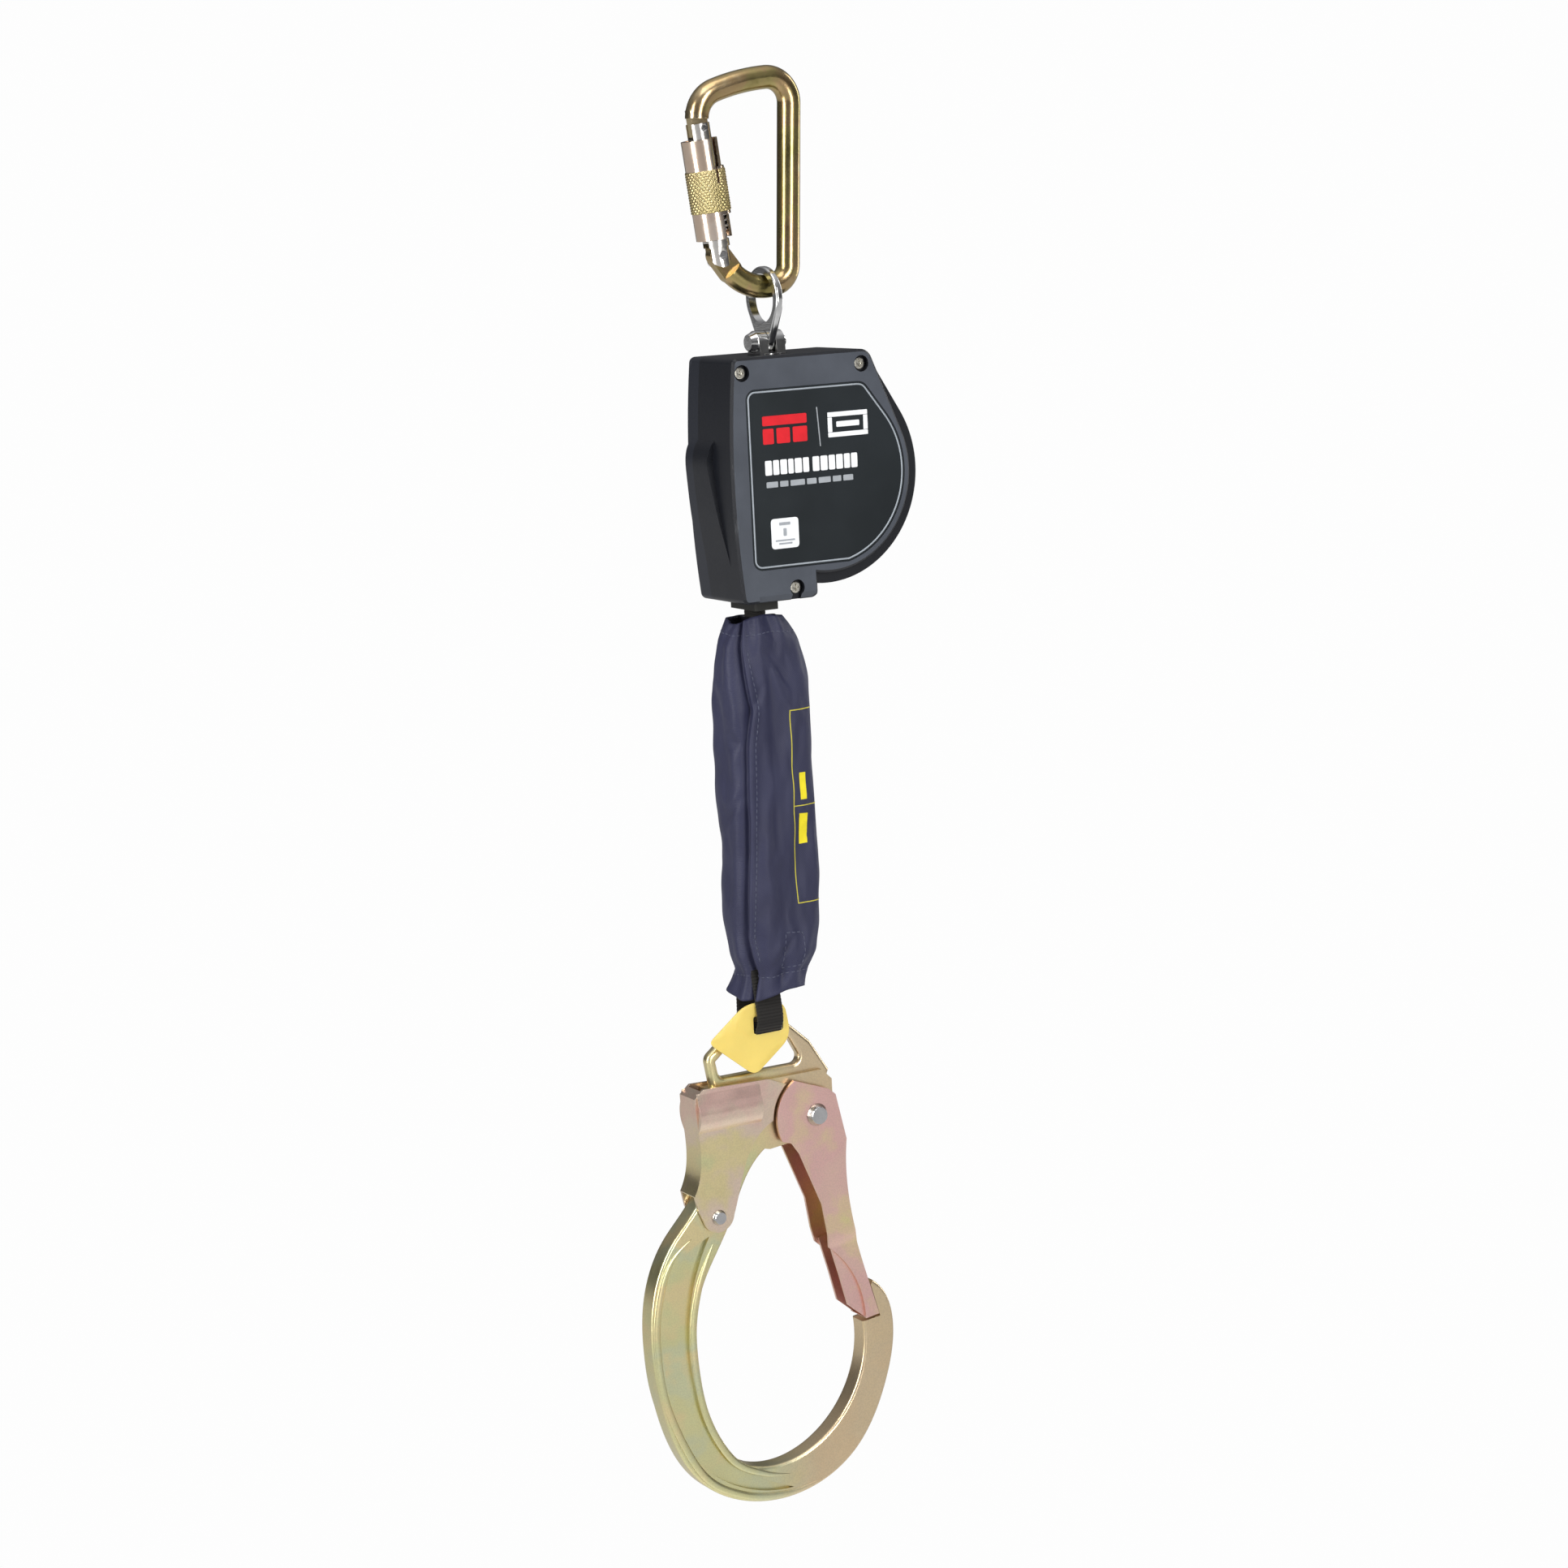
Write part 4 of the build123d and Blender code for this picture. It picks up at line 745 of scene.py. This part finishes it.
def printed_strips(strips, lift):
    """Thin raised ink strips on the pouch: each is a path of (angle, z) and a width in mm."""
    verts, faces = [], []
    for path, width in strips:
        skin = [on_pouch(angle, z) for angle, z in path]
        rings = []
        for index, (spot, normal) in enumerate(skin):
            way = heading([place for place, _ in skin], index)
            side = way.cross(normal).normalized() * width * MM / 2
            rings.append([spot - side - normal * INK_SINK, spot - side + normal * lift,
                          spot + side + normal * lift, spot + side - normal * INK_SINK])
        faces += tube(rings, caps=True, first=len(verts))
        verts += [point for ring in rings for point in ring]
    return verts, faces


OUTLINE_LEFT, OUTLINE_RIGHT = 293.7, 352.0
OUTLINE_WIDTH = 0.45
INK_LIFT = 0.12 * MM
outline = [(sweep_path([(side, -110.0), (side, -203.7)], 50), OUTLINE_WIDTH)
           for side in (OUTLINE_LEFT, OUTLINE_RIGHT)]
outline += [(sweep_path([(OUTLINE_LEFT, z), (OUTLINE_RIGHT, z)], 30), OUTLINE_WIDTH)
            for z in (-110.2, -156.5, -203.5)]
ink_verts, ink_faces = printed_strips(outline, INK_LIFT)
new_piece("pouch_outline", ink_verts, ink_faces, "ink_yellow", "absorber", smooth=False)
blocks = [
    (sweep_path([(308.5, -140.6), (308.5, -153.6)], 12), 3.4),
    (sweep_path([(309.0, -160.4), (309.0, -175.0)], 12), 4.6),
]
block_verts, block_faces = printed_strips(blocks, INK_LIFT)
new_piece("pouch_blocks", block_verts, block_faces, "ink_pale_yellow", "absorber", smooth=False)

# --------------------------------------------------------------------------------- webbing


# share of the half width and share of the thickness there, from one selvedge to the other
STRAP_PROFILE = [(-1.0, 0.35), (-0.97, 0.8), (-0.86, 1.0), (-0.5, 1.0), (0.0, 1.0), (0.5, 1.0), (0.86, 1.0),
                 (0.97, 0.8), (1.0, 0.35)]
STRAP_STEP = 0.375


def strap(name, path, across, width, thick, body, rib, pitch):
    """Woven strap swept along a path in mm: rounded selvedges and ribs across it."""
    spots = resample(path, STRAP_STEP)
    side, half, deep = Vector(across), width / 2, thick / 2
    rings = []
    for index, spot in enumerate(spots):
        normal = heading(spots, index).cross(side).normalized()
        swell = rib * math.cos(2 * math.pi * index * STRAP_STEP / pitch)
        ring = []
        for face, profile in ((1.0, STRAP_PROFILE), (-1.0, STRAP_PROFILE[::-1])):
            ring += [spot + side * half * share + normal * (face * (deep * full + swell * full))
                     for share, full in profile]
        rings.append([point * MM for point in ring])
    verts = [point for ring in rings for point in ring]
    return new_piece(name, verts, tube(rings, caps=True), "black_webbing", body)


WEB_X_MM = -30.55
WEB_HEIGHTS = (0.0, -33.0, -66.6)
web_path = [(WEB_X_MM, HANG_MM, z) for z in WEB_HEIGHTS]
line_strip = strap("lifeline_strip", web_path, (0, 1, 0), 19.0, 1.3, None, rib=0.08, pitch=1.5)
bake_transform(line_strip)
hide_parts("lifeline_web")

LOOP_X_MM = -40.0
LOOP_PATH = [(-6.0, -230.0), (-8.2, -238.0), (-10.0, -246.0), (-11.9, -256.0), (-11.2, -261.5),
             (-7.3, -266.6), (-3.2, -269.8), (1.6, -270.6), (5.8, -268.0), (7.6, -262.5), (7.5, -254.0),
             (7.0, -244.0), (5.0, -230.0)]
loop_path = [(LOOP_X_MM, HANG_MM + y, z) for y, z in LOOP_PATH]
web_loop = strap("hook_loop", loop_path, (1, 0, 0), 14.0, 2.0, "absorber", rib=0.16, pitch=1.7)
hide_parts("lower_web_loop")

# ---------------------------------------------------------------------------------- wear tag

TAG_FRONT_Y = HANG_MM - 9.9
TAG_THICK = 1.0
# x, z and corner radius in mm
TAG_CORNERS = [(-72.2, -265.8, 3.5), (-49.0, -284.8, 4.5), (-27.9, -269.0, 7.0), (-30.6, -253.0, 5.0),
               (-37.0, -249.6, 5.0), (-52.0, -249.9, 5.5)]
SLOT_CORNERS = [(-48.0, -265.0, 1.5), (-32.0, -265.0, 1.5), (-32.0, -256.3, 1.5), (-48.0, -256.3, 1.5)]
TAG_FOLD_Z = -261.0


def rounded_outline(corners, steps=6):
    """Polygon with each corner (x, z, radius) rounded, as a list of points."""
    points = []
    for index, (x, z, radius) in enumerate(corners):
        spot = Vector((x, z))
        back = Vector(corners[index - 1][:2]) - spot
        ahead = Vector(corners[(index + 1) % len(corners)][:2]) - spot
        before, after = back.normalized(), ahead.normalized()
        reach = min(radius, 0.45 * back.length, 0.45 * ahead.length)
        for k in range(steps + 1):
            t = k / steps
            points.append(spot + before * reach * (1 - t) ** 2 + after * reach * t ** 2)
    return points


def tag_bend(x, z):
    """How far the tag bows forward, in mm: it curls away from the loop towards its corners."""
    curl = 1.0 if z < TAG_FOLD_Z else 0.3
    return 0.035 * (x - LOOP_X_MM) + 0.0022 * (z - TAG_FOLD_Z) ** 2 * curl


sheet = bmesh.new()
sheet_edges = []
for points in (rounded_outline(TAG_CORNERS), rounded_outline(SLOT_CORNERS, 3)):
    loop = [sheet.verts.new((p.x, 0.0, p.y)) for p in points]
    sheet_edges += [sheet.edges.new((loop[k], loop[(k + 1) % len(loop)])) for k in range(len(loop))]
bmesh.ops.triangle_fill(sheet, use_beauty=True, edges=sheet_edges)
bmesh.ops.subdivide_edges(sheet, edges=[e for e in sheet.edges if not e.is_boundary], cuts=3)
bmesh.ops.triangulate(sheet, faces=sheet.faces)
bmesh.ops.beautify_fill(sheet, faces=sheet.faces, edges=[e for e in sheet.edges if not e.is_boundary])
for vert in sheet.verts:
    x, z = vert.co.x, vert.co.z
    vert.co = mm(x, TAG_FRONT_Y - tag_bend(x, z), z)
bmesh.ops.recalc_face_normals(sheet, faces=sheet.faces)
tag_mesh = bpy.data.meshes.new("tag_sheet")
sheet.to_mesh(tag_mesh)
sheet.free()
tag_mesh.materials.append(MATERIALS["tag_yellow"])
smooth_shade(tag_mesh)
tag = add_object("tag_sheet", tag_mesh)
if sum(f.normal.y for f in tag_mesh.polygons) > 0:
    tag_mesh.flip_normals()
thicken = tag.modifiers.new("thick", "SOLIDIFY")
thicken.thickness = TAG_THICK * MM
thicken.offset = -1.0
ease = tag.modifiers.new("round", "BEVEL")
ease.width = 0.3 * MM
ease.segments = 2
ease.angle_limit = math.radians(50)
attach(tag, "tag")
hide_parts("wear_tag")

# --------------------------------------------------------------------------- hook spine rims

HOOK_HALF = 5.5
OUTER_RIM = [(-86.0, -360.5), (-97.0, -369.5), (-103.8, -384.0), (-107.4, -408.0), (-103.3, -442.0),
             (-86.4, -478.6), (-64.0, -494.4), (-40.0, -499.0), (-20.0, -496.2)]
INNER_RIM = [(-74.0, -364.5), (-83.6, -386.5), (-87.7, -412.0), (-83.4, -448.0), (-69.8, -474.8),
             (-52.0, -486.0), (-38.0, -489.4)]
RIM_STEP = 1.2
RIM_HALF_WIDTH = 1.9
RIM_ROOT = 0.5


def rim_bead(path, height):
    """Rounded rim raised beside the pressed channel on both faces of the spine, fading out at its ends."""
    verts, faces = [], []
    spots = resample([(x, 0.0, z) for x, z in path], RIM_STEP)
    for face_y, way_out in ((HANG_MM - HOOK_HALF, -1.0), (HANG_MM + HOOK_HALF, 1.0)):
        rings = []
        for index, spot in enumerate(spots):
            along = heading(spots, index)
            side = Vector((along.z, 0.0, -along.x))
            from_end = min(index, len(spots) - 1 - index)
            fade = math.sin(math.pi / 2 * min(1.0, 0.04 + 6.0 * from_end / len(spots)))
            centre = Vector((spot.x, face_y, spot.z))
            ring = [centre + side * RIM_HALF_WIDTH * fade * math.cos(k * math.pi / 8)
                    + Vector((0.0, way_out * height * fade * math.sin(k * math.pi / 8), 0.0))
                    for k in range(9)]
            ring += [centre + side * RIM_HALF_WIDTH * fade * share + Vector((0.0, -way_out * RIM_ROOT, 0.0))
                     for share in (-0.9, 0.0, 0.9)]
            rings.append([point * MM for point in ring])
        faces += tube(rings, caps=True, first=len(verts))
        verts += [point for ring in rings for point in ring]
    return verts, faces


RIMS = [("hook_outer_rim", OUTER_RIM, 0.9), ("hook_inner_rim", INNER_RIM, 0.8)]
for rim_name, rim_path, rim_height in RIMS:
    new_piece(rim_name, *rim_bead(rim_path, rim_height), "hook_steel", "hook")

# -------------------------------------------------------------------------------- knurl band

GATE_LEAN = math.radians(7.0)
HINGE_MM = (-40.6, 104.5)
KNURL_LOW, KNURL_HIGH = 19.9, 39.8
KNURL_R = 9.0
KNURL_HEIGHT = 0.5
KNURL_TURNS = 26
KNURL_ROWS = 100
KNURL_SLANT = 2.6
KNURL_ROOT = 0.12
KNURL_LEAD_IN = 0.5
RING_STEPS = KNURL_TURNS * 12
SLIT_ANGLE, SLIT_HALF, SLIT_LOW, SLIT_R = -80.0, 4.4, 33.2, 7.4
lean_x = Vector((math.cos(GATE_LEAN), 0, math.sin(GATE_LEAN)))
lean_z = Vector((-math.sin(GATE_LEAN), 0, math.cos(GATE_LEAN)))
knurl_rings = []
for row in range(KNURL_ROWS + 1):
    s = KNURL_LOW + (KNURL_HIGH - KNURL_LOW) * row / KNURL_ROWS
    end = min(1.0, (s - KNURL_LOW) / KNURL_LEAD_IN, (KNURL_HIGH - s) / KNURL_LEAD_IN)
    ring = []
    for step in range(RING_STEPS):
        angle = 2 * math.pi * step / RING_STEPS
        first = angle * KNURL_TURNS + s * KNURL_SLANT
        second = angle * KNURL_TURNS - s * KNURL_SLANT
        tooth = (abs(math.sin(first / 2)) * abs(math.sin(second / 2))) ** 0.8
        radius = KNURL_R - KNURL_ROOT + (KNURL_ROOT + KNURL_HEIGHT * tooth) * max(0.0, end)
        if s > SLIT_LOW and abs(swing(math.degrees(angle), SLIT_ANGLE)) < SLIT_HALF:
            radius = SLIT_R
        spot = lean_x * math.cos(angle) * radius + Vector((0, math.sin(angle) * radius, 0)) + lean_z * s
        ring.append(mm(HINGE_MM[0] + spot.x, HANG_MM + spot.y, HINGE_MM[1] + spot.z))
    knurl_rings.append(ring)
knurl_verts = [p for ring in knurl_rings for p in ring]
new_piece("sleeve_knurl", knurl_verts, tube(knurl_rings), "knurl_steel", "lock_sleeve")

# ------------------------------------------------------------------------------ name plate art

PLATE_FACE_Y = -43.4
PRINT_LIFT = 0.14
PRINT_SINK = 0.15


def slab(low_x, high_x, low_z, high_z, corner=0.6):
    """Outline of a rounded block on the plate."""
    points = []
    for x, z, start in ((high_x - corner, high_z - corner, 0), (low_x + corner, high_z - corner, 90),
                        (low_x + corner, low_z + corner, 180), (high_x - corner, low_z + corner, 270)):
        for turn in range(0, 91, 30):
            angle = math.radians(start + turn)
            points.append((x + corner * math.cos(angle), z + corner * math.sin(angle)))
    return points


def printed(name, outlines, material, lift=PRINT_LIFT):
    """Raised ink blocks on the name plate, sunk a little into it."""
    verts, faces = [], []
    for corners in outlines:
        rings = [[mm(x, y, z) for x, z in corners] for y in (PLATE_FACE_Y + PRINT_SINK, PLATE_FACE_Y - lift)]
        faces += tube(rings, caps=True, first=len(verts))
        verts += rings[0] + rings[1]
    new_piece(name, verts, faces, material, "housing", smooth=False)


red_blocks = [slab(-32.0, -8.0, 25.0, 29.5), slab(-32.0, -26.2, 16.4, 23.6), slab(-24.6, -17.4, 16.4, 23.6),
              slab(-15.8, -8.0, 16.4, 23.6)]
printed("plate_red", red_blocks, "ink_red")
# widths of two rows of plain blocks; a zero leaves a wider gap
TITLE_WIDTHS = (3.6, 3.2, 3.6, 2.8, 3.8, 3.2, 0.0, 3.6, 3.8, 3.4, 3.6, 3.2, 3.4)
SMALL_WIDTHS = (6.2, 4.4, 7.8, 5.2, 6.6, 4.6, 5.4)
TITLE_GAP, TITLE_SPACE, SMALL_GAP = 0.72, 0.6, 1.2
title = []
edge = -31.6
for width in TITLE_WIDTHS:
    if width:
        title.append(slab(edge, edge + width, 1.9, 8.8))
    edge += (width or TITLE_SPACE) + TITLE_GAP
small = []
edge = -31.3
for width in SMALL_WIDTHS:
    small.append(slab(edge, edge + width, -3.9, -1.2, 0.4))
    edge += width + SMALL_GAP
badge = [slab(-30.0, -15.1, -32.8, -18.6, 1.6)]
frame_bars = [slab(3.5, 25.4, 26.5, 28.7, 0.3), slab(3.5, 25.4, 17.0, 19.2, 0.3),
              slab(3.5, 5.8, 19.4, 26.3, 0.2), slab(23.1, 25.4, 19.4, 26.3, 0.2),
              slab(8.2, 20.8, 21.6, 24.2, 0.4)]
printed("plate_white", title + badge + frame_bars, "ink_white")
divider = [(-2.5, 31.8), (-2.0, 31.8), (-0.8, 13.4), (-1.3, 13.4)]
printed("plate_grey", small + [divider], "ink_grey")
badge_bars = [slab(-25.6, -19.6, -21.9, -20.5, 0.3), slab(-23.5, -21.7, -27.0, -23.4, 0.3),
              slab(-27.9, -17.4, -29.4, -28.6, 0.2), slab(-26.1, -18.9, -30.9, -30.1, 0.2)]
printed("plate_badge_bars", badge_bars, "ink_grey", PRINT_LIFT + 0.08)

# ridge line that follows the plate's edge
name_plate = NODES["name_plate"]
border = {}
sheet = bmesh.new()
sheet.from_mesh(name_plate.data)
bmesh.ops.transform(sheet, matrix=name_plate.matrix_world, verts=sheet.verts)
bmesh.ops.remove_doubles(sheet, verts=sheet.verts, dist=1e-6)
for plate_edge in sheet.edges:
    fronts = [face for face in plate_edge.link_faces if face.normal.y < -0.9]
    if len(fronts) == 1 and len(plate_edge.link_faces) == 2:
        one, two = plate_edge.verts
        border.setdefault(one.index, []).append(two.index)
        border.setdefault(two.index, []).append(one.index)
sheet.verts.ensure_lookup_table()
start = next(iter(border))
order = [start]
previous, here = None, start
while True:
    following = [v for v in border[here] if v != previous]
    previous, here = here, following[0]
    if here == start:
        break
    order.append(here)
rim = [sheet.verts[index].co.copy() for index in order]
sheet.free()
RIDGE_INSET, RIDGE_HALF, RIDGE_RISE = 1.3 * MM, 0.42 * MM, 0.3 * MM
RIDGE_SIDES = 8
ridge_rings = []
for index, spot in enumerate(rim):
    way = (rim[(index + 1) % len(rim)] - rim[index - 1]).normalized()
    inward = Vector((-way.z, 0, way.x))
    if inward.dot(mm(0, 0, 0) - Vector((spot.x, 0, spot.z))) < 0:
        inward = -inward
    centre = spot + inward * RIDGE_INSET
    centre.y = PLATE_FACE_Y * MM
    turns = [2 * math.pi * k / RIDGE_SIDES for k in range(RIDGE_SIDES)]
    ridge_rings.append([centre + inward * RIDGE_HALF * math.cos(turn)
                        + Vector((0, -RIDGE_RISE * math.sin(turn), 0)) for turn in turns])
ridge_verts = [p for ring in ridge_rings for p in ring]
ridge_faces = tube(ridge_rings)
last = (len(ridge_rings) - 1) * RIDGE_SIDES
ridge_faces += [(last + k, last + (k + 1) % RIDGE_SIDES, (k + 1) % RIDGE_SIDES, k)
                for k in range(RIDGE_SIDES)]
new_piece("plate_ridge", ridge_verts, ridge_faces, "plate_rim", "housing")

# ---------------------------------------------------------------------------- camera and stage

CAMERA_AT = (-0.8769, -1.5107, 0.1483)
camera_data = bpy.data.cameras.new("camera")
camera_data.lens = 83.36
camera_data.sensor_width = 36.0
camera = add_object("camera", camera_data)
RIGHT = Vector((0.86083, -0.50660, -0.04814)).normalized()
BACK = -Vector((0.4927, 0.8534, -0.1702)).normalized()
UP = BACK.cross(RIGHT).normalized()
facing = Matrix((RIGHT, UP, BACK)).transposed()
camera.matrix_world = Matrix.Translation(CAMERA_AT) @ facing.to_4x4()
camera_data.clip_start, camera_data.clip_end = 0.05, 100.0
bpy.context.scene.camera = camera
bpy.context.scene.view_settings.view_transform = "Standard"


LIGHT_AIM = Vector((-0.03, -0.02, -0.15))


def softbox(name, azimuth, height, distance, width, tall, power):
    """Area light at an azimuth in degrees, aimed at the object's middle; metres and watts."""
    light = bpy.data.lights.new(name, "AREA")
    light.shape = "RECTANGLE"
    light.size, light.size_y = width, tall
    light.energy = power
    made = add_object(name, light)
    angle = math.radians(azimuth)
    made.location = Vector((math.sin(angle) * distance, -math.cos(angle) * distance, height))
    made.rotation_mode = "QUATERNION"
    made.rotation_quaternion = (LIGHT_AIM - made.location).to_track_quat("-Z", "Y")


softbox("left_box", -76.0, 0.35, 1.9, 0.5, 2.0, 30.0)
softbox("right_box", 2.0, 0.5, 2.3, 0.6, 2.0, 34.0)
softbox("far_right_box", 95.0, 0.4, 2.2, 0.5, 2.0, 15.0)
softbox("top_box", -20.0, 2.4, 0.8, 1.6, 1.6, 18.0)

world = bpy.data.worlds.new("studio")
bpy.context.scene.world = world
world.use_nodes = True
tree = world.node_tree
tree.nodes.clear()
ray_kind = node(tree, "ShaderNodeLightPath")
mirrored = ramp(
    tree,
    maths(tree, "MULTIPLY_ADD", axis(tree, "Z", "Generated"), 0.5, 0.5),
    ((0.0, (0.34, 0.34, 0.34)), (0.38, (0.22, 0.22, 0.22)), (0.52, (0.06, 0.06, 0.062)),
     (0.8, (0.26, 0.26, 0.27)), (1.0, (0.8, 0.8, 0.82))),
)
studio = mix(tree, ray_kind.outputs["Is Glossy Ray"], (0.62, 0.62, 0.63), mirrored)
BACKDROP = 0.985
seen = mix(tree, ray_kind.outputs["Is Camera Ray"], studio, (BACKDROP, BACKDROP, BACKDROP))
backdrop = node(tree, "ShaderNodeBackground", {"Color": seen, "Strength": 1.0})
world_out = node(tree, "ShaderNodeOutputWorld")
tree.links.new(backdrop.outputs[0], world_out.inputs[0])

FLOOR_Z = -2.6
FLOOR_REACH = 40.0
floor_mesh = bpy.data.meshes.new("floor")
floor_corners = [(-FLOOR_REACH, -FLOOR_REACH), (FLOOR_REACH, -FLOOR_REACH), (FLOOR_REACH, FLOOR_REACH),
                 (-FLOOR_REACH, FLOOR_REACH)]
floor_mesh.from_pydata([(x, y, FLOOR_Z) for x, y in floor_corners], [], [(0, 1, 2, 3)])
floor = add_object("floor", floor_mesh)
floor_look, tree, shader = new_material("floor")
plug(tree, shader, color=(0.9, 0.9, 0.9), rough=0.9)
glow = node(tree, "ShaderNodeEmission", {"Color": (1.0, 1.0, 1.0, 1.0), "Strength": BACKDROP})
floor_mix = node(tree, "ShaderNodeMixShader", {0: node(tree, "ShaderNodeLightPath").outputs["Is Camera Ray"]})
tree.links.new(shader.outputs[0], floor_mix.inputs[1])
tree.links.new(glow.outputs[0], floor_mix.inputs[2])
floor_out = next(n for n in tree.nodes if n.bl_idname == "ShaderNodeOutputMaterial")
tree.links.new(floor_mix.outputs[0], floor_out.inputs[0])
floor_mesh.materials.append(floor_look)
